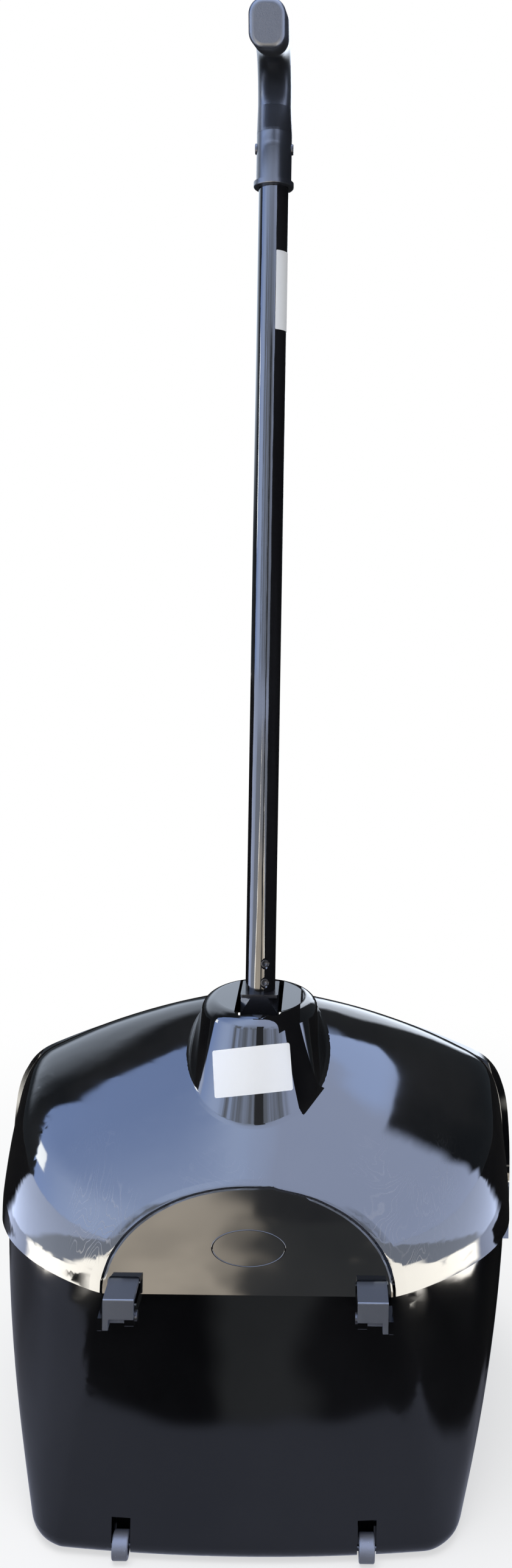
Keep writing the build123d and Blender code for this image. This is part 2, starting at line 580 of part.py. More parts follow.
sleeve_top_z = GRIP_FOOT_Z + GRIP_SLEEVE_HEIGHT
stem_z = sleeve_top_z + GRIP_NECK
arm_turn = radians(GRIP_DROOP)
elbow_run = GRIP_ELBOW_RADIUS * (1 + sin(arm_turn))
end_tilt = GRIP_DEPTH / 2 * sin(arm_turn) - GRIP_END_EDGE * (sin(arm_turn) + cos(arm_turn) - 1)
arm_length = (GRIP_REACH - end_tilt - elbow_run) / cos(arm_turn)
with BuildPart() as grip:
    with BuildLine(Plane.YZ):
        elbow = JernArc((POLE_Y, stem_z), (0, 1), GRIP_ELBOW_RADIUS, 90 + GRIP_DROOP)
        Line(elbow @ 1, elbow @ 1 + (elbow % 1) * arm_length)
    with BuildSketch(Plane.XY.offset(stem_z)):
        with Locations((0, POLE_Y)):
            RectangleRounded(GRIP_WIDTH, GRIP_DEPTH, GRIP_CORNER)
    sweep()
    arm_end = grip.faces().filter_by(GeomType.PLANE).sort_by(Axis.Y)[0]
    fillet(arm_end.edges(), GRIP_END_EDGE)
    with BuildSketch(Plane.XY.offset(sleeve_top_z)):
        with Locations((0, POLE_Y)):
            RectangleRounded(2 * GRIP_SLEEVE_RADIUS, 2 * GRIP_SLEEVE_RADIUS, 0.98 * GRIP_SLEEVE_RADIUS)
    with BuildSketch(Plane.XY.offset(stem_z)):
        with Locations((0, POLE_Y)):
            RectangleRounded(GRIP_WIDTH, GRIP_DEPTH, GRIP_CORNER)
    loft()
    with BuildSketch(Plane.XY.offset(GRIP_FOOT_Z)):
        with Locations((0, POLE_Y)):
            Circle(GRIP_SLEEVE_RADIUS)
    extrude(amount=GRIP_SLEEVE_HEIGHT)
    with BuildSketch(Plane.XY.offset(GRIP_FOOT_Z)):
        with Locations((0, POLE_Y)):
            Circle(GRIP_RING_RADIUS)
    extrude(amount=GRIP_RING_HEIGHT)
    fillet(grip.edges().filter_by(GeomType.CIRCLE).group_by(Axis.Z)[0], GRIP_RING_HEIGHT / 4)
    with BuildSketch(Plane.XY.offset(GRIP_FOOT_Z)):
        with Locations((0, POLE_Y)):
            Circle(TUBE_RADIUS + FIXED_FIT)
    extrude(amount=TUBE_GRIP_DEPTH, mode=Mode.SUBTRACT)
    cross_pin(POLE_Y, RIVET_Z, RIVET_RADIUS + FIXED_FIT, -GRIP_RING_RADIUS, GRIP_RING_RADIUS, Mode.SUBTRACT)
    for side, _ in SIDES:
        seat_x = side * (GRIP_SLEEVE_RADIUS - RIVET_HEAD_SINK)
        seat_end = side * GRIP_RING_RADIUS
        cross_pin(POLE_Y, RIVET_Z, RIVET_HEAD_RADIUS + FIXED_FIT, seat_x, seat_end, Mode.SUBTRACT)
write_node(grip.part, "grip")

with BuildPart() as grip_rivet:
    seat_x = GRIP_SLEEVE_RADIUS - RIVET_HEAD_SINK
    head_end = GRIP_SLEEVE_RADIUS + RIVET_HEAD_RISE
    cross_pin(POLE_Y, RIVET_Z, RIVET_RADIUS, -seat_x, seat_x)
    for side, _ in SIDES:
        cross_pin(POLE_Y, RIVET_Z, RIVET_HEAD_RADIUS, side * seat_x, side * head_end)
    for end in (0, -1):
        fillet(grip_rivet.faces().sort_by(Axis.X)[end].edges(), RIVET_HEAD_RISE / 2)
write_node(grip_rivet.part, "grip_rivet")

# Pan shell: a tapered tub with an open front, roller wells and hinge ears
bulge_share = 1 - (ROLLER_X / (PAN_FLOOR_HALF_REAR - PAN_FLOOR_CORNER)) ** 2
axle_y = PAN_FLOOR_REAR_Y - PAN_FLOOR_BULGE * bulge_share + ROLLER_INSET
axle_z = ROLLER_RADIUS
well_half = ROLLER_WIDTH / 2 + ROLLER_SIDE_GAP
well_front = axle_y + ROLLER_RADIUS + ROLLER_ROUND_GAP
well_top = axle_z + ROLLER_RADIUS + ROLLER_TOP_GAP
pan_top_inset = HOOD_WALL + PAN_HOOD_GAP


def rim_corner(inset):
    """Points of the right rear corner of the pan's rim, which follows the hood's own curve."""
    total = pan_top_inset + inset
    rear_y = HOOD_REAR_Y + total
    points = [(PAN_RIM_HALF_REAR, rear_y)]
    for share, ease in PAN_RIM_CORNER:
        y = rear_y + (HOOD_WIDEST_Y - rear_y) * share
        points.append((plan_half_width(y, total) - ease, y))
    return points


def floor_corner(inset):
    """Points of the right rear corner of the pan's floor, a quarter of an ellipse."""
    start_x = PAN_FLOOR_HALF_REAR - PAN_FLOOR_CORNER - inset
    rear_y = PAN_FLOOR_REAR_Y + inset
    points = []
    for step in range(len(PAN_RIM_CORNER) + 1):
        angle = radians(90 * step / len(PAN_RIM_CORNER))
        x = start_x + PAN_FLOOR_CORNER * sin(angle)
        points.append((x, rear_y + PAN_FLOOR_CORNER_RUN * (1 - cos(angle))))
    return points


def pan_section(inset, z, lip_y):
    """The pan's outline between floor and rim, taken in by inset, with the swell of its sides."""
    climb = min(max(z / PAN_RIM_Z, 0.0), 1.0)
    middle = PAN_BELLY_Z / PAN_RIM_Z
    swell = PAN_BELLY * climb * (1 - climb) / (middle * (1 - middle))
    corner = []
    floor_points = floor_corner(inset)
    for place, (low, high) in enumerate(zip(floor_points, rim_corner(inset))):
        x = low[0] + (high[0] - low[0]) * climb + swell * place / (len(floor_points) - 1)
        corner.append((x, low[1] + (high[1] - low[1]) * climb))
    lip_half = PAN_LIP_HALF_FLOOR + (PAN_LIP_HALF_TOP - PAN_LIP_HALF_FLOOR) * climb - inset
    bulge = (0, corner[0][1] - PAN_FLOOR_BULGE * (1 - climb) - BODY_GAP * climb)
    mirrored = [(-x, y) for x, y in reversed(corner)]
    with BuildSketch(Plane.XY.offset(z)) as outline:
        with BuildLine():
            rear = ThreePointArc(mirrored[-1], bulge, corner[0])
            right = Line(corner[-1], (lip_half, lip_y))
            Spline(*corner, tangents=(rear % 1, right % 0))
            Line((lip_half, lip_y), (-lip_half, lip_y))
            left = Line((-lip_half, lip_y), mirrored[0])
            Spline(*mirrored, tangents=(left % 1, rear % 0))
        make_face()
    return outline.sketch


with BuildPart() as pan_hollow:
    loft([pan_section(PAN_WALL, z, PAN_LIP_Y + 1) for z in (PAN_FLOOR, PAN_BELLY_Z, PAN_RIM_Z + 1)])
    floor_edges = pan_hollow.faces().sort_by(Axis.Z)[0].edges().sort_by(Axis.Y)[:-1]
    fillet(floor_edges, PAN_BOTTOM_EDGE - PAN_WALL)
    well_run = well_front + WELL_WALL - PAN_FLOOR_REAR_Y + 2 * PAN_FLOOR_BULGE
    well_width = 2 * (well_half + WELL_WALL)
    for side, _ in SIDES:
        with Locations((side * ROLLER_X, well_front + WELL_WALL - well_run / 2, 0)):
            Box(well_width, well_run, 2 * (well_top + WELL_WALL), mode=Mode.SUBTRACT)

with BuildPart() as pan_shell:
    loft([pan_section(0, z, PAN_LIP_Y) for z in (0, PAN_BELLY_Z, PAN_RIM_Z)])
    bottom_edges = pan_shell.faces().sort_by(Axis.Z)[0].edges().sort_by(Axis.Y)[:-1]
    fillet(bottom_edges, PAN_BOTTOM_EDGE)
    add(pan_hollow.part, mode=Mode.SUBTRACT)
    # Sloping side edges in front of the hood, and the thin lip
    side_run = PAN_LIP_Y - HOOD_FRONT_Y
    side_fall = HOOD_RIM_Z - PAN_SIDE_LIP_Z
    with BuildSketch(Plane.YZ):
        with BuildLine():
            side_edge = ThreePointArc(
                (HOOD_FRONT_Y, HOOD_RIM_Z),
                (HOOD_FRONT_Y + side_run / 2, HOOD_RIM_Z - side_fall / 2 - PAN_SIDE_SAG),
                (PAN_LIP_Y, PAN_SIDE_LIP_Z),
            )
            Polyline(
                side_edge @ 1,
                (PAN_LIP_Y + 1, PAN_SIDE_LIP_Z),
                (PAN_LIP_Y + 1, PAN_RIM_Z + 1),
                (HOOD_FRONT_Y, PAN_RIM_Z + 1),
                side_edge @ 0,
            )
        make_face()
        with BuildLine():
            Polyline(
                (PAN_LIP_Y - PAN_LIP_RAMP, PAN_FLOOR),
                (PAN_LIP_Y, PAN_LIP_THICKNESS),
                (PAN_LIP_Y + 1, PAN_FLOOR),
                close=True,
            )
        make_face()
    extrude(amount=PAN_LIP_HALF_TOP + PAN_LIP_HALF_FLOOR, both=True, mode=Mode.SUBTRACT)
    # Roller notches, open to the rear and below, and their axle holes
    notch_run = well_front - PAN_FLOOR_REAR_Y + 2 * PAN_FLOOR_BULGE
    for side, _ in SIDES:
        with Locations((side * ROLLER_X, well_front - notch_run / 2, 0)):
            Box(2 * well_half, notch_run, 2 * well_top, mode=Mode.SUBTRACT)
        hole_half = well_half + WELL_WALL
        hole_from = side * ROLLER_X - hole_half
        hole_to = side * ROLLER_X + hole_half
        cross_pin(axle_y, axle_z, AXLE_RADIUS + FIXED_FIT, hole_from, hole_to, Mode.SUBTRACT)
    # Hinge ears on each side of the straps
    ear_front = HOOD_REAR_Y + pan_top_inset + PAN_WALL / 2
    ear_mid_z = HOOD_RIM_Z - EAR_RIM_GAP - EAR_HEIGHT / 2
    for side, _ in SIDES:
        for face_x, thickness, end, front in (
            (HINGE_X - STRAP_WIDTH / 2 + BODY_GAP, EAR_INNER, EAR_INNER_END, ear_front),
            (HINGE_X + STRAP_WIDTH / 2 + BODY_GAP, EAR_OUTER, EAR_OUTER_END, ear_front + EAR_OUTER_REACH),
        ):
            ear_rear = HINGE_PIN_Y - end
            with BuildSketch(side_plane(side * face_x)) as ear:
                with Locations(((ear_rear + front) / 2, ear_mid_z)):
                    Rectangle(front - ear_rear, EAR_HEIGHT)
                fillet(ear.vertices().group_by(Axis.Y)[0], EAR_CORNER)
                with Locations((HINGE_PIN_Y, HINGE_PIN_Z)):
                    Circle(HINGE_PIN_RADIUS + FIXED_FIT, mode=Mode.SUBTRACT)
            extrude(amount=side * thickness)
write_node(pan_shell.part, "pan_shell")

# Hinge pins, headed on the inboard side and pressed into the ears
for side, name in SIDES:
    pin_from = HINGE_X - STRAP_WIDTH / 2 + BODY_GAP - SEAT_GAP
    pin_to = HINGE_X + STRAP_WIDTH / 2 + BODY_GAP + EAR_OUTER
    with BuildPart() as hinge_pin:
        cross_pin(HINGE_PIN_Y, HINGE_PIN_Z, HINGE_PIN_RADIUS, side * pin_from, side * pin_to)
        head_from = side * (pin_from - HINGE_HEAD_LENGTH)
        cross_pin(HINGE_PIN_Y, HINGE_PIN_Z, HINGE_HEAD_RADIUS, head_from, side * pin_from)
    write_node(hinge_pin.part, f"hinge_pin_{name}")

# Rollers and their axles
for side, name in SIDES:
    middle = side * ROLLER_X
    half = ROLLER_WIDTH / 2
    with BuildPart() as roller:
        cross_pin(axle_y, axle_z, ROLLER_RADIUS, middle - half, middle + half)
        fillet(roller.edges().filter_by(GeomType.CIRCLE), ROLLER_EDGE)
        for face in (-1, 1):
            recess_from = middle + face * (half - ROLLER_HUB_RECESS)
            recess_to = middle + face * half
            cross_pin(axle_y, axle_z, ROLLER_HUB_RADIUS, recess_from, recess_to, Mode.SUBTRACT)
        axle_bore = AXLE_RADIUS + RUNNING_FIT
        cross_pin(axle_y, axle_z, axle_bore, middle - half, middle + half, Mode.SUBTRACT)
    write_node(roller.part, f"roller_{name}")

    axle_half = well_half + WELL_WALL
    with BuildPart() as roller_axle:
        cross_pin(axle_y, axle_z, AXLE_RADIUS, middle - axle_half, middle + axle_half)
    write_node(roller_axle.part, f"roller_axle_{name}")
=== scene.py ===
"""Looks of the upright dustpan: finishes for the moulded pieces, blank labels, screws and the studio, with
its painted reflections and painted shade.
"""

import logging
import math
from dataclasses import dataclass
from enum import Enum
from typing import Callable, Iterable

import bpy
from mathutils import Matrix, Vector

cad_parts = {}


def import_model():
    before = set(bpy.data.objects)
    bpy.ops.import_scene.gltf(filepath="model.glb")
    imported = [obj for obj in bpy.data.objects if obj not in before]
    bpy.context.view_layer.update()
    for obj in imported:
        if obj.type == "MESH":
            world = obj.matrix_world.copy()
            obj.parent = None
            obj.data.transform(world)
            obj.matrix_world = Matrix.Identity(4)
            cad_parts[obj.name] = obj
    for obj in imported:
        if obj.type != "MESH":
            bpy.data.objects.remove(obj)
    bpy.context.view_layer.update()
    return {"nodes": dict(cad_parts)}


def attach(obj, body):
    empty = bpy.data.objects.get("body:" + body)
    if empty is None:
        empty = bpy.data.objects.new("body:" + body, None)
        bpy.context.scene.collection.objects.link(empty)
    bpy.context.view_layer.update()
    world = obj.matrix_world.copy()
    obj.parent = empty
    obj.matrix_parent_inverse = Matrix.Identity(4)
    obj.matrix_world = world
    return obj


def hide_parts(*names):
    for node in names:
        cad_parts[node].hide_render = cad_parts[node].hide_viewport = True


LOG = logging.getLogger("dustpan")

Colour = tuple[float, float, float]
Point = tuple[float, float, float]
Span = tuple[float, float]
Link = bpy.types.NodeSocket
Ends = tuple[Link | float, Link | float]

EVEN: Point = (1.0, 1.0, 1.0)
WHITE: Colour = (1.0, 1.0, 1.0)


class Body(Enum):
    """The rigid bodies that new pieces ride on."""

    HOOD = "hood"
    HANDLE = "handle"


class Slot(Enum):
    """Names of material slots; no piece in this script takes them."""

    BLACK_GLOSS = "black_gloss"
    BLACK_PAINT = "black_paint"
    BLACK_SCREW = "black_screw"


class Pick(Enum):
    """What a selection in edit mode is made of."""

    VERTICES = "VERT"
    FACES = "FACE"


@dataclass(frozen=True)
class Noise:
    """A noise pattern: its scale, the number of its finer layers and their strength."""

    scale: float
    detail: float
    rough: float


@dataclass(frozen=True)
class Band:
    """A range with soft edges: its ends, and half the width of each edge."""

    low: float
    high: float
    soft: float


class Sheet:
    """A node tree with short calls for adding and joining nodes."""

    def __init__(self, tree: bpy.types.NodeTree) -> None:
        """Keep the tree that the calls work on."""
        self.tree = tree

    def node(self, kind: str, **settings: object) -> bpy.types.Node:
        """Add a node.

        Args:
            kind: the node's type name.
            settings: attributes to set on it.

        Returns:
            The new node.
        """
        made = self.tree.nodes.new(kind)
        for name, value in settings.items():
            setattr(made, name, value)
        return made

    def join(self, source: Link | Colour | float, target: Link) -> None:
        """Link one socket to another, or set a colour or a number on it.

        Args:
            source: the socket to read, or the plain value.
            target: the socket that takes it.
        """
        if isinstance(source, tuple):
            target.default_value = (*source, 1.0)
        elif isinstance(source, (int, float)):
            target.default_value = source
        else:
            self.tree.links.new(source, target)

    def coordinates(self, scale: Point = EVEN) -> Link:
        """Object coordinates stretched along each axis.

        Args:
            scale: factors along X, Y and Z.

        Returns:
            The vector socket.
        """
        mapping = self.node("ShaderNodeMapping")
        mapping.inputs["Scale"].default_value = scale
        self.join(self.node("ShaderNodeTexCoord").outputs["Object"], mapping.inputs["Vector"])
        return mapping.outputs["Vector"]

    def parts(self, vector: Link) -> tuple[Link, Link, Link]:
        """Split a vector.

        Args:
            vector: the socket to read.

        Returns:
            The sockets of its X, Y and Z.
        """
        split = self.node("ShaderNodeSeparateXYZ")
        self.join(vector, split.inputs["Vector"])
        return split.outputs["X"], split.outputs["Y"], split.outputs["Z"]

    def length(self, vector: Link) -> Link:
        """Measure how far a point is from the origin.

        Args:
            vector: the point's socket.

        Returns:
            The distance socket.
        """
        measure = self.node("ShaderNodeVectorMath", operation="LENGTH")
        self.join(vector, measure.inputs[0])
        return measure.outputs["Value"]

    def noise(self, vector: Link, kind: Noise) -> Link:
        """Add a noise pattern.

        Args:
            vector: where to read it.
            kind: its settings.

        Returns:
            The noise value socket.
        """
        pattern = self.node("ShaderNodeTexNoise")
        pattern.inputs["Scale"].default_value = kind.scale
        pattern.inputs["Detail"].default_value = kind.detail
        pattern.inputs["Roughness"].default_value = kind.rough
        self.join(vector, pattern.inputs["Vector"])
        return pattern.outputs["Fac"]

    def spread(self, value: Link, source: Ends, target: Span) -> Link:
        """Map a range of values to another, clamped, with soft ends.

        Args:
            value: the socket to read.
            source: the ends of the input range.
            target: the outputs at those ends.

        Returns:
            The mapped value socket.
        """
        ramp = self.node("ShaderNodeMapRange", interpolation_type="SMOOTHSTEP")
        for label, end in zip(("From Min", "From Max", "To Min", "To Max"), source + target):
            self.join(end, ramp.inputs[label])
        self.join(value, ramp.inputs["Value"])
        return ramp.outputs["Result"]

    def rise(self, value: Link, span: Ends) -> Link:
        """A mask that goes softly from zero to one over a span."""
        return self.spread(value, span, (0.0, 1.0))

    def fall(self, value: Link, span: Ends) -> Link:
        """A mask that goes softly from one to zero over a span."""
        return self.spread(value, span, (1.0, 0.0))

    def between(self, value: Link, band: Band) -> Link:
        """A mask that is one inside a band.

        Args:
            value: the socket to read.
            band: where the mask starts and ends.

        Returns:
            The mask socket.
        """
        rise = self.rise(value, (band.low - band.soft, band.low + band.soft))
        fall = self.fall(value, (band.high - band.soft, band.high + band.soft))
        return self.product(rise, fall)

    def sums(self, how: str, first: Link | float, second: Link | float) -> Link:
        """Do arithmetic on two sockets or numbers.

        Args:
            how: the operation's name.
            first: the first operand.
            second: the second operand.

        Returns:
            The result socket.
        """
        maths = self.node("ShaderNodeMath", operation=how)
        self.join(first, maths.inputs[0])
        self.join(second, maths.inputs[1])
        return maths.outputs["Value"]

    def product(self, *masks: Link) -> Link:
        """Multiply several masks together.

        Args:
            masks: the mask sockets.

        Returns:
            The product socket.
        """
        result = masks[0]
        for mask in masks[1:]:
            result = self.sums("MULTIPLY", result, mask)
        return result

    def bearing(self, x: Link, y: Link) -> Link:
        """Degrees to the right of straight back."""
        turn = self.sums("ARCTAN2", x, self.sums("MULTIPLY", y, -1.0))
        return self.sums("DEGREES", turn, 0.0)

    def blend(self, mask: Link, first: Colour | Link, second: Colour | Link) -> Link:
        """Mix two colours by a mask.

        Args:
            mask: zero gives the first colour, one the second.
            first: colour where the mask is zero.
            second: colour where the mask is one.

        Returns:
            The mixed colour socket.
        """
        mix = self.node("ShaderNodeMix", data_type="RGBA")
        colours = [socket for socket in mix.inputs if socket.type == "RGBA"]
        self.join(mask, mix.inputs["Factor"])
        self.join(first, colours[0])
        self.join(second, colours[1])
        return next(socket for socket in mix.outputs if socket.type == "RGBA")

    def mix_shaders(self, share: Link, first: Link, second: Link, output: bpy.types.Node) -> None:
        """Mix two shaders into the tree's output.

        Args:
            share: zero gives the first shader, one the second.
            first: shader where the share is zero.
            second: shader where the share is one.
            output: the tree's output node.
        """
        mix = self.node("ShaderNodeMixShader")
        for source, target in zip((share, first, second), mix.inputs):
            self.join(source, target)
        self.join(mix.outputs["Shader"], output.inputs["Surface"])


@dataclass(frozen=True)
class Effect:
    """A surface effect shared by several finishes, kept as a node group."""

    name: str
    inputs: tuple[tuple[str, float], ...]
    draw: Callable[[Sheet, bpy.types.Node], Link]

    def group(self) -> bpy.types.NodeTree:
        """Build the group once, or find it.

        Returns:
            The node group, with one output called Mask.
        """
        found = bpy.data.node_groups.get(self.name)
        if found is not None:
            return found
        tree = bpy.data.node_groups.new(self.name, "ShaderNodeTree")
        for label, value in self.inputs:
            socket = tree.interface.new_socket(label, in_out="INPUT", socket_type="NodeSocketFloat")
            socket.default_value = value
        tree.interface.new_socket("Mask", in_out="OUTPUT", socket_type="NodeSocketFloat")
        sheet = Sheet(tree)
        entry = sheet.node("NodeGroupInput")
        leave = sheet.node("NodeGroupOutput")
        sheet.join(self.draw(sheet, entry), leave.inputs["Mask"])
        return tree

    def place(self, sheet: Sheet, **values: float) -> Link:
        """Place the group in a material.

        Args:
            sheet: the material's node tree.
            values: settings for the group's inputs.

        Returns:
            The mask socket.
        """
        node = sheet.node("ShaderNodeGroup", node_tree=self.group())
        for label, value in values.items():
            node.inputs[label].default_value = value
        return node.outputs["Mask"]


# Depths at which the hood's flat facet gives way to its curved sides, in metres.
FACET_EDGE: Span = (-0.1288, -0.1284)
FACET_SHOULDER: Span = (-0.1288, -0.1260)

# Rub marks: the swirling field, its lines and patches, and the part of the hood that shows them.
RUB_STRETCH: Point = (1.0, 1.0, 0.42)
RUB_DETAIL = 3.5
RUB_ROUGH = 0.52
RUB_BEND = 0.6
RUB_TURNS = 44.0
HALF_TURN = 0.5
RUB_LINE: Span = (0.02, 0.16)
RUB_PATCHES = Noise(15.0, 3.0, 0.6)
RUB_PATCH_EDGE: Span = (0.44, 0.62)
RUB_ACROSS = Band(-0.118, 0.118, 0.012)
RUB_FOOT: Span = (0.163, 0.175)
RUB_FADE = 0.04

# Dust: the uneven film and the specks in it.
DUST_FILM = Noise(26.0, 5.0, 0.6)
DUST_FILM_EDGE: Span = (0.42, 0.78)
DUST_FILM_SHARE: Span = (0.0, 0.5)
DUST_SPECK: Span = (0.05, 0.13)

GRAIN_DETAIL = 2.0


def draw_hairlines(sheet: Sheet, entry: bpy.types.Node) -> Link:
    """Fine swirling rub marks in patches, below a height and beside the flat facet.

    Args:
        sheet: the group's node tree.
        entry: the group's input node.

    Returns:
        The mask socket.
    """
    field = sheet.node("ShaderNodeTexNoise")
    field.inputs["Detail"].default_value = RUB_DETAIL
    field.inputs["Roughness"].default_value = RUB_ROUGH
    field.inputs["Distortion"].default_value = RUB_BEND
    sheet.join(entry.outputs["Scale"], field.inputs["Scale"])
    sheet.join(sheet.coordinates(RUB_STRETCH), field.inputs["Vector"])
    turns = sheet.sums("MULTIPLY", field.outputs["Fac"], RUB_TURNS)
    lines = sheet.fall(sheet.sums("PINGPONG", turns, HALF_TURN), RUB_LINE)
    vector = sheet.coordinates()
    patch = sheet.rise(sheet.noise(vector, RUB_PATCHES), RUB_PATCH_EDGE)
    across, depth, height = sheet.parts(vector)
    inner = sheet.between(across, RUB_ACROSS)
    sides = sheet.rise(depth, FACET_SHOULDER)
    above = sheet.rise(height, RUB_FOOT)
    ceiling = entry.outputs["Ceiling"]
    below = sheet.fall(height, (sheet.sums("SUBTRACT", ceiling, RUB_FADE), ceiling))
    return sheet.product(lines, patch, inner, sides, above, below, entry.outputs["Amount"])


def draw_dust(sheet: Sheet, entry: bpy.types.Node) -> Link:
    """A thin uneven film of dust with specks.

    Args:
        sheet: the group's node tree.
        entry: the group's input node.

    Returns:
        The mask socket.
    """
    vector = sheet.coordinates()
    film = sheet.spread(sheet.noise(vector, DUST_FILM), DUST_FILM_EDGE, DUST_FILM_SHARE)
    cells = sheet.node("ShaderNodeTexVoronoi", feature="F1")
    sheet.join(vector, cells.inputs["Vector"])
    sheet.join(entry.outputs["Specks"], cells.inputs["Scale"])
    specks = sheet.fall(cells.outputs["Distance"], DUST_SPECK)
    return sheet.product(sheet.sums("MAXIMUM", film, specks), entry.outputs["Amount"])


def draw_grain(sheet: Sheet, entry: bpy.types.Node) -> Link:
    """The fine even grain of a matte mould.

    Args:
        sheet: the group's node tree.
        entry: the group's input node.

    Returns:
        The height socket.
    """
    pattern = sheet.node("ShaderNodeTexNoise")
    pattern.inputs["Detail"].default_value = GRAIN_DETAIL
    sheet.join(entry.outputs["Scale"], pattern.inputs["Scale"])
    sheet.join(sheet.coordinates(), pattern.inputs["Vector"])
    return sheet.product(pattern.outputs["Fac"], entry.outputs["Amount"])


HAIRLINES = Effect("rub_hairlines", (("Scale", 17.0), ("Ceiling", 0.235), ("Amount", 1.0)), draw_hairlines)
DUST = Effect("settled_dust", (("Specks", 260.0), ("Amount", 1.0)), draw_dust)
GRAIN = Effect("mould_grain", (("Scale", 900.0), ("Amount", 1.0)), draw_grain)

# The slow clouding of tone and gloss that every finish has, and the patterns of the relief.
CLOUD = Noise(9.0, 4.0, 0.55)
CLOUD_TONE_EDGE: Span = (0.3, 0.7)
CLOUD_TONE: Span = (0.0, 0.12)
CLOUD_GLOSS_EDGE: Span = (0.3, 0.75)
CLOUD_GLOSS = 0.15
WAVES = Noise(14.0, 1.0, 0.4)
STREAKS = Noise(90.0, 2.0, 0.5)


@dataclass(frozen=True)
class Finish:
    """One moulded, painted or metal finish."""

    name: str
    colour: Colour
    worn_colour: Colour
    roughness: float
    worn_roughness: float
    metallic: float = 0.0
    specular: float = 0.5
    hairline_scale: float = 17.0
    hairline_ceiling: float = 0.235
    hairlines: float = 0.0
    dust: float = 0.0
    dust_specks: float = 260.0
    grain_scale: float = 900.0
    grain_depth: float = 0.0
    wave_depth: float = 0.0
    streak_depth: float = 0.0
    streak: Point = EVEN
    facet_draft: float = 0.0
    rim_lift: float = 0.0
    rim_top: float = 0.1635
    rim_depth: float = 0.0115

    def build(self) -> bpy.types.Material:
        """Make the material, or find it.

        Returns:
            The material.
        """
        found = bpy.data.materials.get(self.name)
        if found is not None:
            return found
        material = bpy.data.materials.new(self.name)
        material.use_nodes = True
        sheet = Sheet(material.node_tree)
        shader = material.node_tree.nodes["Principled BSDF"]
        shader.inputs["Metallic"].default_value = self.metallic
        shader.inputs["Specular IOR Level"].default_value = self.specular
        cloud = sheet.noise(sheet.coordinates(self.streak), CLOUD)
        wear = DUST.place(sheet, Specks=self.dust_specks, Amount=self.dust)
        if self.hairlines:
            rubbed = HAIRLINES.place(
                sheet, Scale=self.hairline_scale, Ceiling=self.hairline_ceiling, Amount=self.hairlines
            )
            wear = sheet.sums("MAXIMUM", rubbed, wear)
        tone = sheet.sums("ADD", sheet.spread(cloud, CLOUD_TONE_EDGE, CLOUD_TONE), wear)
        sheet.join(sheet.blend(tone, self.colour, self.worn_colour), shader.inputs["Base Color"])
        span = self.worn_roughness - self.roughness
        clouded = (self.roughness, self.roughness + CLOUD_GLOSS * span)
        uneven = sheet.spread(cloud, CLOUD_GLOSS_EDGE, clouded)
        rough = sheet.sums("ADD", uneven, sheet.sums("MULTIPLY", wear, span))
        sheet.join(rough, shader.inputs["Roughness"])
        self.relief(sheet, shader)
        return material

    def relief(self, sheet: Sheet, shader: bpy.types.Node) -> None:
        """Add the facet's draft, the rim's flare, slow waviness, drawn streaks and grain as bump.

        Args:
            sheet: the material's node tree.
            shader: its surface shader.
        """
        heights: list[tuple[float, Link]] = []
        if self.facet_draft or self.rim_lift:
            _, depth, height = sheet.parts(sheet.coordinates())
            draft = math.tan(math.radians(self.facet_draft))
            on_facet = sheet.spread(depth, FACET_EDGE, (-1.0, 0.0))
            heights.append((draft, sheet.product(on_facet, height)))
            flare = math.tan(math.radians(self.rim_lift)) / (2.0 * self.rim_depth)
            under = sheet.sums("MAXIMUM", sheet.sums("SUBTRACT", self.rim_top, height), 0.0)
            heights.append((flare, sheet.product(under, under, sheet.rise(depth, FACET_EDGE))))
        if self.wave_depth:
            heights.append((self.wave_depth, sheet.noise(sheet.coordinates(), WAVES)))
        if self.streak_depth:
            heights.append((self.streak_depth, sheet.noise(sheet.coordinates(self.streak), STREAKS)))
        if self.grain_depth:
            heights.append((self.grain_depth, GRAIN.place(sheet, Scale=self.grain_scale, Amount=1.0)))
        normal = None
        for depth, height in heights:
            bump = sheet.node("ShaderNodeBump")
            bump.inputs["Strength"].default_value = 1.0
            bump.inputs["Distance"].default_value = depth
            sheet.join(height, bump.inputs["Height"])
            if normal is not None:
                sheet.join(normal, bump.inputs["Normal"])
            normal = bump.outputs["Normal"]
        if normal is not None:
            sheet.join(normal, shader.inputs["Normal"])


HOOD_GLOSS = Finish(
    "hood_black_gloss", (0.003, 0.0032, 0.0042), (0.09, 0.085, 0.08), 0.03, 0.4,
    hairlines=0.65, hairline_scale=20.0, dust=0.02, dust_specks=110.0, wave_depth=0.0003,
    facet_draft=10.0, rim_lift=8.0,
)
PAN_GLOSS = Finish(
    "pan_black_gloss", (0.002, 0.0021, 0.0027), (0.032, 0.032, 0.036), 0.06, 0.4,
    dust=0.04, dust_specks=110.0, wave_depth=0.0004,
)
STRAP_SATIN = Finish(
    "strap_grey_satin", (0.046, 0.051, 0.064), (0.10, 0.104, 0.115), 0.36, 0.55,
    specular=0.6, dust=0.2, grain_scale=700.0, grain_depth=0.00004,
)
BLOCK_SATIN = Finish(
    "block_black_satin", (0.006, 0.006, 0.008), (0.05, 0.05, 0.055), 0.25, 0.5,
    dust=0.15, grain_scale=800.0, grain_depth=0.00003,
)
GRIP_MATTE = Finish(
    "grip_grey_matte", (0.006, 0.0068, 0.0095), (0.032, 0.035, 0.044), 0.34, 0.6,
    specular=0.66, dust=0.12, grain_scale=1100.0, grain_depth=0.00005,
)
TUBE_PAINT = Finish(
    "tube_black_paint", (0.004, 0.004, 0.005), (0.05, 0.05, 0.055), 0.06, 0.35,
    dust=0.05, wave_depth=0.00005, streak_depth=0.00004, streak=(6.0, 6.0, 0.4),
)
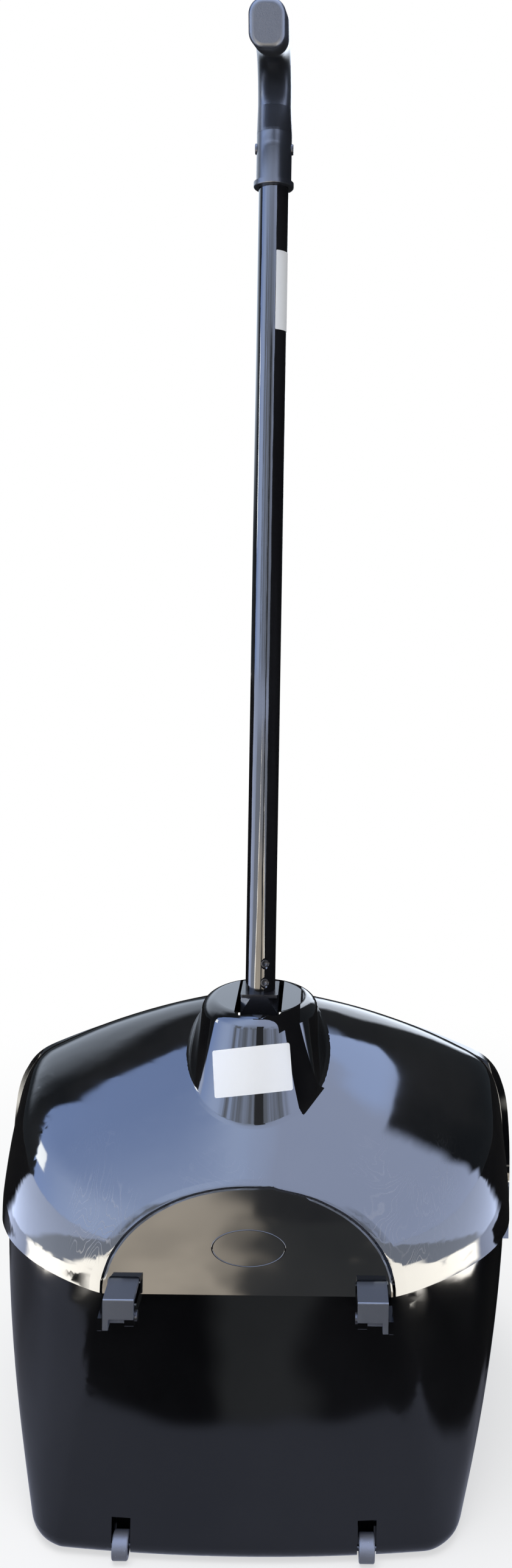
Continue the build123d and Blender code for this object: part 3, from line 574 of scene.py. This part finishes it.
ROLLER_DULL = Finish(
    "roller_grey_dull", (0.10, 0.105, 0.125), (0.26, 0.26, 0.28), 0.42, 0.75,
    dust=0.7, dust_specks=420.0, grain_scale=600.0, grain_depth=0.00008,
)
STEEL_PLAIN = Finish(
    "steel_plain", (0.5, 0.5, 0.51), (0.3, 0.29, 0.28), 0.3, 0.5, metallic=1.0, dust=0.2,
)
SCREW_BLACK = Finish(
    "screw_black_plate", (0.03, 0.03, 0.033), (0.2, 0.2, 0.21), 0.28, 0.5, metallic=0.6, dust=0.3,
)
NYLON_BLACK = Finish(
    "nylon_black", (0.012, 0.012, 0.013), (0.05, 0.05, 0.052), 0.45, 0.65, dust=0.15,
)
LABEL_WHITE = Finish(
    "label_white_paper", (0.80, 0.80, 0.80), (0.66, 0.66, 0.67), 0.4, 0.55,
    specular=0.3, dust=0.1, dust_specks=500.0,
)

NODE_FINISHES: dict[str, Finish] = {
    "hood_shell": HOOD_GLOSS,
    "pan_shell": PAN_GLOSS,
    "hinge_strap_left": STRAP_SATIN,
    "hinge_strap_right": STRAP_SATIN,
    "hinge_pin_left": SCREW_BLACK,
    "hinge_pin_right": SCREW_BLACK,
    "strap_screws": STEEL_PLAIN,
    "roller_left": ROLLER_DULL,
    "roller_right": ROLLER_DULL,
    "roller_axle_left": SCREW_BLACK,
    "roller_axle_right": SCREW_BLACK,
    "pivot_block": BLOCK_SATIN,
    "pivot_bush": NYLON_BLACK,
    "pivot_pin": SCREW_BLACK,
    "pivot_clip": SCREW_BLACK,
    "pivot_washer_left": NYLON_BLACK,
    "pivot_washer_right": NYLON_BLACK,
    "pole_tube": TUBE_PAINT,
    "pole_screws": SCREW_BLACK,
    "grip": GRIP_MATTE,
    "grip_rivet": SCREW_BLACK,
}


def dress(piece: bpy.types.Object, finish: Finish) -> None:
    """Give a piece one finish all over."""
    piece.data.materials.clear()
    piece.data.materials.append(finish.build())


def start_fresh() -> None:
    """Leave edit mode and deselect everything before a new piece."""
    if bpy.context.object is not None and bpy.context.object.mode != "OBJECT":
        bpy.ops.object.mode_set(mode="OBJECT")
    bpy.ops.object.select_all(action="DESELECT")


def choose(piece: bpy.types.Object) -> None:
    """Select one piece alone and make it the active one.

    Args:
        piece: the object to select.
    """
    start_fresh()
    piece.select_set(True)
    bpy.context.view_layer.objects.active = piece


def pick(piece: bpy.types.Object, part: Pick, test: Callable[[Vector], bool]) -> None:
    """Select vertices or faces of a piece by their place, and go into edit mode.

    Args:
        piece: the object to edit.
        part: what is selected.
        test: says of each vertex place or face centre whether it is picked.
    """
    bpy.ops.object.mode_set(mode="EDIT")
    bpy.ops.mesh.select_mode(type=part.value)
    bpy.ops.mesh.select_all(action="DESELECT")
    bpy.ops.object.mode_set(mode="OBJECT")
    if part is Pick.VERTICES:
        for vertex in piece.data.vertices:
            vertex.select = test(vertex.co)
    else:
        for face in piece.data.polygons:
            face.select = test(face.center)
    bpy.ops.object.mode_set(mode="EDIT")


def settle(piece: bpy.types.Object) -> None:
    """Put a piece's place, turn and scale into its mesh."""
    choose(piece)
    bpy.ops.object.transform_apply(location=True, rotation=True, scale=True)


def smooth(piece: bpy.types.Object, degrees: float) -> None:
    """Shade a piece smooth up to an angle."""
    choose(piece)
    bpy.ops.object.shade_smooth_by_angle(angle=math.radians(degrees))


def thicken(piece: bpy.types.Object, thickness: float) -> None:
    """Give a thin sheet its thickness, outwards.

    Args:
        piece: the sheet, already active.
        thickness: its thickness in metres.
    """
    wall = piece.modifiers.new("wall", "SOLIDIFY")
    wall.thickness = thickness
    wall.offset = 1.0
    bpy.ops.object.modifier_apply(modifier=wall.name)


@dataclass(frozen=True)
class BossLabel:
    """The bare white label stuck on the back of the hood's boss."""

    size: Span = (0.0472, 0.0263)
    centre: Point = (-0.0020, -0.0930, 0.2636)
    slope: float = 24.0
    tilt: float = 6.3
    lift: float = 0.030
    corner: float = 0.0012
    corner_steps: int = 4
    corner_share: float = 0.999
    gap: float = 0.00012
    thickness: float = 0.00018
    cells: tuple[int, int] = (30, 18)
    crease: float = 30.0

    def build(self, hood: bpy.types.Object) -> bpy.types.Object:
        """Make the label, lay it on the boss and let it ride on the hood.

        Args:
            hood: the hood's shell.

        Returns:
            The label.
        """
        start_fresh()
        across, up = self.cells
        bpy.ops.mesh.primitive_grid_add(x_subdivisions=across, y_subdivisions=up, size=1.0)
        label = bpy.context.object
        label.name = "boss_label"
        label.scale = (*self.size, 1.0)
        bpy.ops.object.transform_apply(location=False, rotation=False, scale=True)
        edge_x, edge_y = (side / 2 * self.corner_share for side in self.size)
        pick(label, Pick.VERTICES, lambda spot: abs(spot.x) > edge_x and abs(spot.y) > edge_y)
        bpy.ops.mesh.bevel(offset=self.corner, segments=self.corner_steps, affect="VERTICES")
        bpy.ops.object.mode_set(mode="OBJECT")
        upright = Matrix.Rotation(math.radians(90 - self.slope), 4, "X")
        facing = upright @ Matrix.Rotation(math.radians(self.tilt), 4, "Z")
        start = Vector(self.centre) + upright @ Vector((0, 0, self.lift))
        label.matrix_world = Matrix.Translation(start) @ facing
        wrap = label.modifiers.new("wrap", "SHRINKWRAP")
        wrap.wrap_method = "PROJECT"
        wrap.use_project_z = True
        wrap.use_positive_direction = False
        wrap.use_negative_direction = True
        wrap.target = hood
        wrap.offset = self.gap
        bpy.ops.object.modifier_apply(modifier=wrap.name)
        settle(label)
        thicken(label, self.thickness)
        smooth(label, self.crease)
        dress(label, LABEL_WHITE)
        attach(label, Body.HOOD.value)
        return label


@dataclass(frozen=True)
class FacetOval:
    """The bare raised oval line moulded on the hood's flat rear facet."""

    half_size: Span = (0.0208, 0.0104)
    line: float = 0.00055
    rise: float = 0.6
    place: Point = (0.0, -0.1290, 0.1787)
    steps_round: int = 96
    steps_line: int = 12
    crease: float = 60.0

    def build(self) -> bpy.types.Object:
        """Make the oval and let it ride on the hood.

        Returns:
            The oval line.
        """
        start_fresh()
        wide, high = self.half_size
        bpy.ops.mesh.primitive_torus_add(
            major_segments=self.steps_round, minor_segments=self.steps_line,
            major_radius=wide, minor_radius=self.line,
        )
        oval = bpy.context.object
        oval.name = "facet_oval"
        bpy.ops.object.mode_set(mode="EDIT")
        bpy.ops.mesh.select_all(action="SELECT")
        bpy.ops.transform.resize(value=(1.0, high / wide, self.rise))
        bpy.ops.object.mode_set(mode="OBJECT")
        oval.rotation_euler = (math.radians(90), 0, 0)
        oval.location = self.place
        settle(oval)
        smooth(oval, self.crease)
        dress(oval, PAN_GLOSS)
        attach(oval, Body.HOOD.value)
        return oval


# The pole's place and the radius of its tube, in metres.
POLE_Y = -0.050
TUBE_RADIUS = 0.0095


@dataclass(frozen=True)
class TubeLabel:
    """The bare white label wrapped round the right of the tube, near its top."""

    gap: float = 0.00006
    thickness: float = 0.00014
    foot_z: float = 0.7157
    height: float = 0.0500
    start_turn: float = 18.0
    width: float = 0.0260
    corner: float = 0.0012
    corner_steps: int = 3
    edge_slack: float = 0.1
    facets: int = 144
    crease: float = 30.0

    def turn_of(self, spot: Vector) -> float:
        """Degrees to the right of straight back at which a point lies."""
        return math.degrees(math.atan2(spot.x, -spot.y)) % 360

    def build(self) -> bpy.types.Object:
        """Make the label and let it ride on the handle.

        Returns:
            The label.
        """
        start_fresh()
        radius = TUBE_RADIUS + self.gap
        bpy.ops.mesh.primitive_cylinder_add(
            vertices=self.facets, radius=radius, depth=self.height, end_fill_type="NOTHING"
        )
        label = bpy.context.object
        label.name = "tube_label"
        end_turn = self.start_turn + math.degrees(self.width / radius)
        pick(label, Pick.FACES, lambda spot: not self.start_turn < self.turn_of(spot) < end_turn)
        bpy.ops.mesh.delete(type="FACE")
        bpy.ops.object.mode_set(mode="OBJECT")
        turns = [self.turn_of(vertex.co) for vertex in label.data.vertices]
        first, last = min(turns) + self.edge_slack, max(turns) - self.edge_slack
        pick(label, Pick.VERTICES, lambda spot: not first < self.turn_of(spot) < last)
        bpy.ops.mesh.bevel(offset=self.corner, segments=self.corner_steps, affect="VERTICES")
        bpy.ops.object.mode_set(mode="OBJECT")
        label.location = (0, POLE_Y, self.foot_z + self.height / 2)
        settle(label)
        thicken(label, self.thickness)
        smooth(label, self.crease)
        dress(label, LABEL_WHITE)
        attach(label, Body.HANDLE.value)
        return label


@dataclass(frozen=True)
class PoleScrews:
    """The two countersunk screws near the foot of the tube, with their drive recesses."""

    sink: float = 0.00035
    heights: Span = (0.3035, 0.3155)
    turn: float = 20.0
    facets: int = 36
    head_radius: float = 0.0026
    head_depth: float = 0.0006
    end_share: float = 0.9
    shank_radius: float = 0.0014
    shank_length: float = 0.0042
    recess_radius: float = 0.0013
    recess_depth: float = 0.0005
    recess_taper: float = 0.85
    rim_width: float = 0.00015
    rim_steps: int = 3
    crease: float = 35.0

    def push(self, length: float) -> None:
        """Extrude the picked faces down by a length."""
        bpy.ops.mesh.extrude_region_move(TRANSFORM_OT_translate={"value": (0, 0, -length)})

    def model_one(self) -> bpy.types.Object:
        """Model one screw at the origin, with its head facing up.

        Returns:
            The screw.
        """
        start_fresh()
        bpy.ops.mesh.primitive_cylinder_add(
            vertices=self.facets, radius=self.head_radius, depth=self.head_depth
        )
        screw = bpy.context.object
        end = self.head_depth / 2 * self.end_share
        pick(screw, Pick.FACES, lambda spot: spot.z > end)
        bpy.ops.mesh.inset(thickness=self.head_radius - self.recess_radius)
        self.push(self.recess_depth)
        bpy.ops.transform.resize(value=(self.recess_taper, self.recess_taper, 1.0))
        bpy.ops.object.mode_set(mode="OBJECT")
        pick(screw, Pick.FACES, lambda spot: spot.z < -end)
        neck = self.shank_radius / self.head_radius
        bpy.ops.transform.resize(value=(neck, neck, 1.0))
        self.push(self.shank_length)
        bpy.ops.object.mode_set(mode="OBJECT")
        rim = screw.modifiers.new("rim", "BEVEL")
        rim.width = self.rim_width
        rim.segments = self.rim_steps
        rim.limit_method = "ANGLE"
        bpy.ops.object.modifier_apply(modifier=rim.name)
        return screw

    def build(self) -> bpy.types.Object:
        """Make both screws as one piece that stands for the plain ones.

        Returns:
            The pair of screws.
        """
        first = self.model_one()
        turn = math.radians(self.turn)
        outwards = Vector((math.sin(turn), -math.cos(turn), 0))
        seat = outwards * (TUBE_RADIUS - self.sink - self.head_depth / 2)
        facing = outwards.to_track_quat("Z", "Y").to_matrix().to_4x4()
        second = first.copy()
        second.data = first.data.copy()
        bpy.context.scene.collection.objects.link(second)
        for screw, height in zip((first, second), self.heights):
            spot = Vector((0, POLE_Y, height)) + seat
            screw.matrix_world = Matrix.Translation(spot) @ facing
            settle(screw)
        choose(first)
        second.select_set(True)
        bpy.ops.object.join()
        first.name = "pole_screw_pair"
        smooth(first, self.crease)
        dress(first, SCREW_BLACK)
        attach(first, Body.HANDLE.value)
        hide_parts("pole_screws")
        return first


# Cards made with this glow as painted reflections: only glossy rays see them, so they cast no shadow and
# light nothing else.
def only_gloss(card: bpy.types.Object, strength: float) -> tuple[Sheet, Link]:
    """Let a card glow and hide it from all but glossy rays.

    Args:
        card: the card.
        strength: how strongly it glows.

    Returns:
        The node tree of its material, and the socket of its colour.
    """
    material = bpy.data.materials.new(card.name)
    material.use_nodes = True
    nodes = material.node_tree.nodes
    nodes.remove(nodes["Principled BSDF"])
    sheet = Sheet(material.node_tree)
    glow = sheet.node("ShaderNodeEmission")
    glow.inputs["Strength"].default_value = strength
    sheet.join(glow.outputs["Emission"], nodes["Material Output"].inputs["Surface"])
    card.data.materials.append(material)
    for ray in ("camera", "diffuse", "transmission", "volume_scatter", "shadow"):
        setattr(card, f"visible_{ray}", False)
    return sheet, glow.inputs["Color"]


@dataclass(frozen=True)
class Dome:
    """A glowing dome that only gloss sees, painting reflections: bright behind and above, dark in front.
    Angles are in degrees.
    """

    radius: float = 5.0
    segments: int = 64
    rings: int = 32
    strength: float = 20.0
    left: Colour = (0.14, 0.20, 0.37)
    middle: Colour = (0.275, 0.345, 0.52)
    right: Colour = (0.25, 0.295, 0.425)
    deep: Colour = (0.27, 0.35, 0.56)
    haze: Colour = (0.19, 0.225, 0.31)
    stripe: Colour = (0.10, 0.113, 0.14)
    patch: Colour = (0.80, 0.84, 0.88)
    dim_front: Colour = (0.085, 0.097, 0.115)
    dark_front: Colour = (0.004, 0.005, 0.006)
    strip: Colour = (0.20, 0.22, 0.25)
    # Bearings at which the left turns into the middle, low down and high up, and the heights between.
    low_turn: Span = (-92.0, -58.0)
    high_turn: Span = (-82.0, -40.0)
    turn_heights: Span = (14.0, 34.0)
    right_turn: Span = (-35.0, 15.0)
    deep_bearings: Span = (74.0, 82.0)
    deep_heights: Span = (54.0, 62.0)
    haze_bearings: Band = Band(-24.0, 12.0, 16.0)
    haze_heights: Span = (28.0, 50.0)
    stripe_stretch: Point = (1.8, 1.8, 0.12)
    stripe_noise: Noise = Noise(1.0, 4.0, 0.65)
    stripe_edge: Span = (0.35, 0.6)
    stripe_share: Span = (0.2, 1.0)
    stripe_bearings: Band = Band(-50.0, 42.0, 6.0)
    stripe_heights: Span = (20.0, 32.0)
    patch_bearings: Band = Band(-90.0, -83.5, 0.5)
    patch_heights: Band = Band(8.0, 19.0, 1.0)
    # Where the bright part ends: on the left, on the right with two widenings, and overhead.
    left_limit: Span = (-91.0, -89.5)
    right_limit: Span = (83.5, 73.5)
    right_heights: Span = (6.0, 34.0)
    right_soft: Span = (-2.4, 2.4)
    top_widening: Span = (0.0, 37.0)
    top_heights: Span = (56.0, 62.0)
    foot_widening: Span = (7.0, 0.0)
    foot_heights: Span = (3.0, 9.0)
    roof_heights: Span = (68.0, 76.0)
    # The painted dark reflection in front, a little lighter on the left, with one pale painted strip.
    dim_bearings: Span = (-128.0, -98.0)
    dim_heights: Band = Band(13.0, 52.0, 6.0)
    strip_bearings: Band = Band(152.0, 175.0, 3.0)
    strip_heights: Band = Band(6.0, 46.0, 4.0)

    def bright_part(self, sheet: Sheet, bearing: Link, height: Link) -> Link:
        """The painted bright reflection behind, with haze, dim upright stripes and one small painted
        highlight patch low down.

        Args:
            sheet: the node tree to add to.
            bearing: degrees to the right of straight back.
            height: degrees above the horizon.

        Returns:
            The colour socket.
        """
        low = sheet.blend(sheet.rise(bearing, self.low_turn), self.left, self.middle)
        high = sheet.blend(sheet.rise(bearing, self.high_turn), self.left, self.middle)
        tone = sheet.blend(sheet.rise(height, self.turn_heights), low, high)
        tone = sheet.blend(sheet.rise(bearing, self.right_turn), tone, self.right)
        deep = sheet.product(sheet.rise(bearing, self.deep_bearings), sheet.rise(height, self.deep_heights))
        tone = sheet.blend(deep, tone, self.deep)
        hazy = sheet.product(
            sheet.between(bearing, self.haze_bearings), sheet.fall(height, self.haze_heights)
        )
        tone = sheet.blend(hazy, tone, self.haze)
        upright = sheet.noise(sheet.coordinates(self.stripe_stretch), self.stripe_noise)
        striped = sheet.product(
            sheet.between(bearing, self.stripe_bearings),
            sheet.fall(height, self.stripe_heights),
            sheet.spread(upright, self.stripe_edge, self.stripe_share),
        )
        tone = sheet.blend(striped, tone, self.stripe)
        # A small painted highlight patch, low on the left.
        lit = sheet.product(
            sheet.between(bearing, self.patch_bearings), sheet.between(height, self.patch_heights)
        )
        return sheet.blend(lit, tone, self.patch)

    def build(self) -> None:
        """Make the dome and paint it by direction."""
        start_fresh()
        bpy.ops.mesh.primitive_uv_sphere_add(
            segments=self.segments, ring_count=self.rings, radius=self.radius
        )
        dome = bpy.context.object
        dome.name = "gloss_sky_painted_reflection"
        sheet, colour = only_gloss(dome, self.strength)
        share = 1.0 / self.radius
        x, y, z = sheet.parts(sheet.coordinates((share, share, share)))
        bearing = sheet.bearing(x, y)
        height = sheet.sums("DEGREES", sheet.sums("ARCSINE", z, 0.0), 0.0)
        dim = sheet.product(sheet.fall(bearing, self.dim_bearings), sheet.between(height, self.dim_heights))
        front = sheet.blend(dim, self.dark_front, self.dim_front)
        strip = sheet.product(
            sheet.between(bearing, self.strip_bearings), sheet.between(height, self.strip_heights)
        )
        front = sheet.blend(strip, front, self.strip)
        limit = sheet.spread(height, self.right_heights, self.right_limit)
        limit = sheet.sums("ADD", limit, sheet.spread(height, self.top_heights, self.top_widening))
        limit = sheet.sums("ADD", limit, sheet.spread(height, self.foot_heights, self.foot_widening))
        right = sheet.rise(sheet.sums("SUBTRACT", bearing, limit), self.right_soft)
        sides = sheet.sums("MAXIMUM", sheet.fall(bearing, self.left_limit), right)
        closed = sheet.product(sides, sheet.fall(height, self.roof_heights))
        sheet.join(sheet.blend(closed, self.bright_part(sheet, bearing, height), front), colour)


@dataclass(frozen=True)
class Ground:
    """A glowing ground that only gloss sees, painting reflections: dark with painted shade close by, warm
    behind, with a pale painted highlight strip along each side.
    """

    radius: float = 4.9
    facets: int = 96
    height: float = 0.0008
    strength: float = 10.0
    near: Colour = (0.044, 0.048, 0.063)
    near_front: Colour = (0.02, 0.021, 0.026)
    shade: Colour = (0.0015, 0.0015, 0.0015)
    dusk: Colour = (0.045, 0.048, 0.05)
    warm_dark: Colour = (0.58, 0.515, 0.43)
    warm: Colour = (0.78, 0.69, 0.57)
    far_dim: Colour = (0.34, 0.36, 0.41)
    strip: Colour = (2.0, 1.92, 1.75)
    strip_front: Colour = (0.27, 0.31, 0.43)
    band: Colour = (0.30, 0.336, 0.415)
    far: Colour = (0.50, 0.58, 0.80)
    # Waviness of the edges, in metres.
    ripple_noise: Noise = Noise(6.0, 2.0, 0.5)
    ripple_edge: Span = (0.3, 0.7)
    ripple: Span = (-0.015, 0.015)
    # The object's own shade close by, and the faint gleam in the middle of it.
    shade_rows: Span = (-0.262, -0.248)
    shade_columns: Span = (0.215, 0.245)
    near_rows: Span = (-0.16, -0.02)
    gleam_bearings: Band = Band(-8.0, 8.0, 3.0)
    gleam_share: float = 0.65
    # The painted reflection of warm ground behind, its stains, and the painted dark gap of shade in it.
    stain_stretch: Point = (1.0, 0.5, 1.0)
    stain_noise: Noise = Noise(8.0, 4.0, 0.55)
    stain_edge: Span = (0.36, 0.64)
    dim_reach: Span = (1.3, 1.8)
    sway_edge: Span = (0.3, 0.7)
    sway: Span = (-3.0, 3.0)
    gap_bearings: Band = Band(-3.0, 9.0, 2.0)
    warm_reach: Span = (0.66, 0.72)
    warm_bearings: Band = Band(-45.0, 31.0, 4.0)
    # The pale strips of painted highlight, measured from a leaning middle line, and what lies beyond them.
    strip_inner: Span = (0.457, 0.473)
    strip_outer: Span = (0.53, 0.56)
    strip_lean: float = 0.10
    strip_start: float = 0.15
    strip_rows: Span = (-0.10, -0.04)
    slant: float = 1.05
    slant_edge: Span = (0.47, 0.55)
    corner_bearings: Band = Band(33.0, 55.0, 3.0)
    corner_reach: Band = Band(0.48, 0.72, 0.02)
    far_reach: Span = (2.6, 3.8)
    front_rows: Span = (0.10, 0.16)

    def inside(self, sheet: Sheet, x: Link, y: Link, bearing: Link, reach: Link) -> Link:
        """The painted ground between the strips: the object's painted shade close by, warm and stained
        behind it.

        Args:
            sheet: the node tree to add to.
            x: place to the right.
            y: place to the front.
            bearing: degrees to the right of straight back.
            reach: distance from the object.

        Returns:
            The colour socket.
        """
        back = sheet.fall(y, self.shade_rows)
        shaded = sheet.sums("MAXIMUM", back, sheet.rise(x, self.shade_columns))
        near = sheet.blend(sheet.rise(y, self.near_rows), self.near, self.near_front)
        near = sheet.blend(shaded, near, self.shade)
        gleam = sheet.product(back, sheet.between(bearing, self.gleam_bearings))
        near = sheet.blend(sheet.sums("MULTIPLY", gleam, self.gleam_share), near, self.dusk)
        stains = sheet.noise(sheet.coordinates(self.stain_stretch), self.stain_noise)
        warm = sheet.blend(sheet.rise(stains, self.stain_edge), self.warm_dark, self.warm)
        warm = sheet.blend(sheet.rise(reach, self.dim_reach), warm, self.far_dim)
        swayed = sheet.sums("ADD", bearing, sheet.spread(stains, self.sway_edge, self.sway))
        warm = sheet.blend(sheet.between(swayed, self.gap_bearings), warm, self.dusk)
        behind = sheet.product(
            sheet.rise(reach, self.warm_reach), sheet.between(bearing, self.warm_bearings)
        )
        return sheet.blend(behind, near, warm)

    def build(self) -> None:
        """Make the ground and paint it by place."""
        start_fresh()
        bpy.ops.mesh.primitive_circle_add(vertices=self.facets, radius=self.radius, fill_type="NGON")
        ground = bpy.context.object
        ground.name = "gloss_ground_painted_reflection"
        ground.location = (0, 0, self.height)
        settle(ground)
        sheet, colour = only_gloss(ground, self.strength)
        vector = sheet.coordinates()
        ripple = sheet.spread(sheet.noise(vector, self.ripple_noise), self.ripple_edge, self.ripple)
        x, y, _ = sheet.parts(vector)
        x = sheet.sums("ADD", x, ripple)
        y = sheet.sums("ADD", y, ripple)
        bearing = sheet.bearing(x, y)
        reach = sheet.length(vector)
        middle = sheet.sums("MULTIPLY", sheet.sums("ADD", y, self.strip_start), self.strip_lean)
        side = sheet.sums("ABSOLUTE", sheet.sums("SUBTRACT", x, middle), 0.0)
        strip = sheet.blend(sheet.rise(y, self.strip_rows), self.strip, self.strip_front)
        slanted = sheet.sums("ADD", side, sheet.sums("MULTIPLY", y, self.slant))
        beyond = sheet.blend(sheet.rise(slanted, self.slant_edge), self.band, self.far)
        outside = sheet.blend(sheet.rise(side, self.strip_outer), strip, beyond)
        inside = self.inside(sheet, x, y, bearing, reach)
        tone = sheet.blend(sheet.rise(side, self.strip_inner), inside, outside)
        away = sheet.sums("ABSOLUTE", bearing, 0.0)
        # Painted highlight patches behind, on both sides, in the strip's colour.
        corner = sheet.product(
            sheet.between(away, self.corner_bearings), sheet.between(reach, self.corner_reach)
        )
        tone = sheet.blend(corner, tone, self.strip)
        tone = sheet.blend(sheet.rise(reach, self.far_reach), tone, self.far)
        sheet.join(sheet.blend(sheet.rise(y, self.front_rows), tone, self.shade), colour)


@dataclass(frozen=True)
class Flag:
    """A flat dark card that only gloss sees, for painted dark reflections and painted shade, tilted about X
    and then turned about Z, in degrees.
    """

    name: str
    centre: Point
    size: Span
    tilt: float
    turn: float
    tone: Colour
    strength: float = 10.0
    cells: tuple[int, int] = (2, 8)

    def build(self) -> None:
        """Make the card and put it in its place."""
        start_fresh()
        across, up = self.cells
        bpy.ops.mesh.primitive_grid_add(x_subdivisions=across, y_subdivisions=up, size=1.0)
        card = bpy.context.object
        card.name = self.name
        card.scale = (*self.size, 1.0)
        card.rotation_euler = (math.radians(self.tilt), 0.0, math.radians(self.turn))
        card.location = self.centre
        settle(card)
        sheet, colour = only_gloss(card, self.strength)
        sheet.join(self.tone, colour)


FLAGS: tuple[Flag, ...] = (
    # The pole, back and boss cards are painted dark reflections on the tube, the hood and the boss.
    Flag("gloss_pole_painted_reflection", (0.026, -0.027, 0.5735), (0.146, 0.577), 90.0, 90.0, (0.0005, 0.0005, 0.0006)),
    Flag("gloss_back_painted_reflection", (0.075, -1.2, 0.475), (0.25, 0.95), 90.0, 0.0, (0.03, 0.032, 0.035)),
    Flag("gloss_boss_painted_reflection", (0.0358, -0.0854, 0.264), (0.0198, 0.052), 90.0, 52.0, (0.0003, 0.0004, 0.0007)),
    # The neck and arm cards are painted shade under the grip's arm.
    Flag("gloss_neck_painted_shade", (0.0, -0.098, 0.871), (0.14, 0.085), -40.0, 0.0, (0.001, 0.001, 0.0012)),
    Flag("gloss_arm_painted_shade", (0.0, -0.1005, 0.848), (0.14, 0.075), -20.0, 0.0, (0.001, 0.001, 0.0012)),
)


@dataclass(frozen=True)
class Studio:
    """Camera, soft light, floor and background, and the cards of painted reflection and painted shade that
    only gloss sees.
    """

    spot: Point = (0.0382, -0.7682, 0.5684)
    yaw: float = -0.287
    roll: float = 0.956
    focal_pixels: float = 1848.1
    frame_pixels: tuple[int, int] = (841, 2576)
    axis_pixel: Span = (546.8, 926.0)
    sensor: float = 36.0
    clip_start: float = 0.01
    lamp_spot: Point = (-0.3, -0.5, 2.2)
    lamp_aim: Point = (0.0, -0.1, 0.2)
    lamp_size: Span = (1.5, 1.1)
    lamp_power: float = 30.0
    world_tint: Colour = (0.93, 0.96, 1.0)
    world_light: float = 0.5
    floor_size: float = 12.0
    floor_tone: Colour = (0.86, 0.86, 0.86)
    floor_rough: float = 0.9
    floor_fade: Span = (0.2, 0.7)
    floor_white: Span = (0.6, 1.0)

    def camera(self) -> None:
        """Place the camera where the photograph was taken from."""
        data = bpy.data.cameras.new("camera")
        camera = bpy.data.objects.new("camera", data)
        bpy.context.scene.collection.objects.link(camera)
        broad, tall = self.frame_pixels
        data.sensor_fit = "AUTO"
        data.sensor_width = self.sensor
        data.lens = self.focal_pixels / tall * self.sensor
        data.shift_x = (broad / 2 - self.axis_pixel[0]) / tall
        data.shift_y = (self.axis_pixel[1] - tall / 2) / tall
        data.clip_start = self.clip_start
        level = Matrix.Rotation(math.radians(self.yaw), 4, "Z") @ Matrix.Rotation(math.radians(90), 4, "X")
        turned = level @ Matrix.Rotation(math.radians(self.roll), 4, "Z")
        camera.matrix_world = Matrix.Translation(self.spot) @ turned
        bpy.context.scene.camera = camera

    def lamp(self) -> None:
        """Add the rectangular soft light overhead, which gloss does not show."""
        data = bpy.data.lights.new("overhead", "AREA")
        data.shape = "RECTANGLE"
        data.size, data.size_y = self.lamp_size
        data.energy = self.lamp_power
        light = bpy.data.objects.new("overhead", data)
        bpy.context.scene.collection.objects.link(light)
        facing = (Vector(self.lamp_aim) - Vector(self.lamp_spot)).to_track_quat("-Z", "Y")
        light.matrix_world = Matrix.Translation(self.lamp_spot) @ facing.to_matrix().to_4x4()
        light.visible_glossy = False

    def seen(self, sheet: Sheet) -> Link:
        """One for rays from the eye, from gloss and through glass.

        Args:
            sheet: the node tree to add to.

        Returns:
            The mask socket.
        """
        path = sheet.node("ShaderNodeLightPath")
        first = sheet.sums("MAXIMUM", path.outputs["Is Camera Ray"], path.outputs["Is Glossy Ray"])
        return sheet.sums("MAXIMUM", first, path.outputs["Is Transmission Ray"])

    def backdrop(self) -> None:
        """A white world for the eye and for reflections, with a plain level of light."""
        world = bpy.data.worlds.new("studio")
        bpy.context.scene.world = world
        world.use_nodes = True
        nodes = world.node_tree.nodes
        sheet = Sheet(world.node_tree)
        plain = nodes["Background"]
        sheet.join(self.world_tint, plain.inputs["Color"])
        plain.inputs["Strength"].default_value = self.world_light
        white = sheet.node("ShaderNodeBackground")
        sheet.join(WHITE, white.inputs["Color"])
        white.inputs["Strength"].default_value = 1.0
        sheet.mix_shaders(
            self.seen(sheet), plain.outputs["Background"], white.outputs["Background"], nodes["World Output"]
        )

    def floor(self) -> None:
        """A wide pale floor that keeps a soft shadow near the object and fades to white."""
        start_fresh()
        bpy.ops.mesh.primitive_plane_add(size=self.floor_size)
        floor = bpy.context.object
        floor.name = "floor"
        material = bpy.data.materials.new("floor_pale")
        material.use_nodes = True
        nodes = material.node_tree.nodes
        sheet = Sheet(material.node_tree)
        shader = nodes["Principled BSDF"]
        sheet.join(self.floor_tone, shader.inputs["Base Color"])
        shader.inputs["Roughness"].default_value = self.floor_rough
        shader.inputs["Specular IOR Level"].default_value = 0.0
        glow = sheet.node("ShaderNodeEmission")
        sheet.join(WHITE, glow.inputs["Color"])
        away = sheet.length(sheet.coordinates())
        share = sheet.product(self.seen(sheet), sheet.spread(away, self.floor_fade, self.floor_white))
        sheet.mix_shaders(share, shader.outputs["BSDF"], glow.outputs["Emission"], nodes["Material Output"])
        floor.data.materials.append(material)

    def build(self) -> None:
        """Set up the whole studio."""
        self.camera()
        self.backdrop()
        self.floor()
        for card in (Dome(), Ground(), *FLAGS):
            card.build()
        self.lamp()
        bpy.context.scene.view_settings.view_transform = "Standard"


def main() -> None:
    """Load the frame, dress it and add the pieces."""
    logging.basicConfig(level=logging.INFO, format="%(message)s")
    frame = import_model()
    Studio().build()
    for name, piece in frame["nodes"].items():
        dress(piece, NODE_FINISHES[name])
        LOG.info("dressed %s", name)
    made = [
        BossLabel().build(frame["nodes"]["hood_shell"]),
        FacetOval().build(),
        TubeLabel().build(),
        PoleScrews().build(),
    ]
    for piece in made:
        LOG.info("made %s", piece.name)


if __name__ == "__main__":
    main()
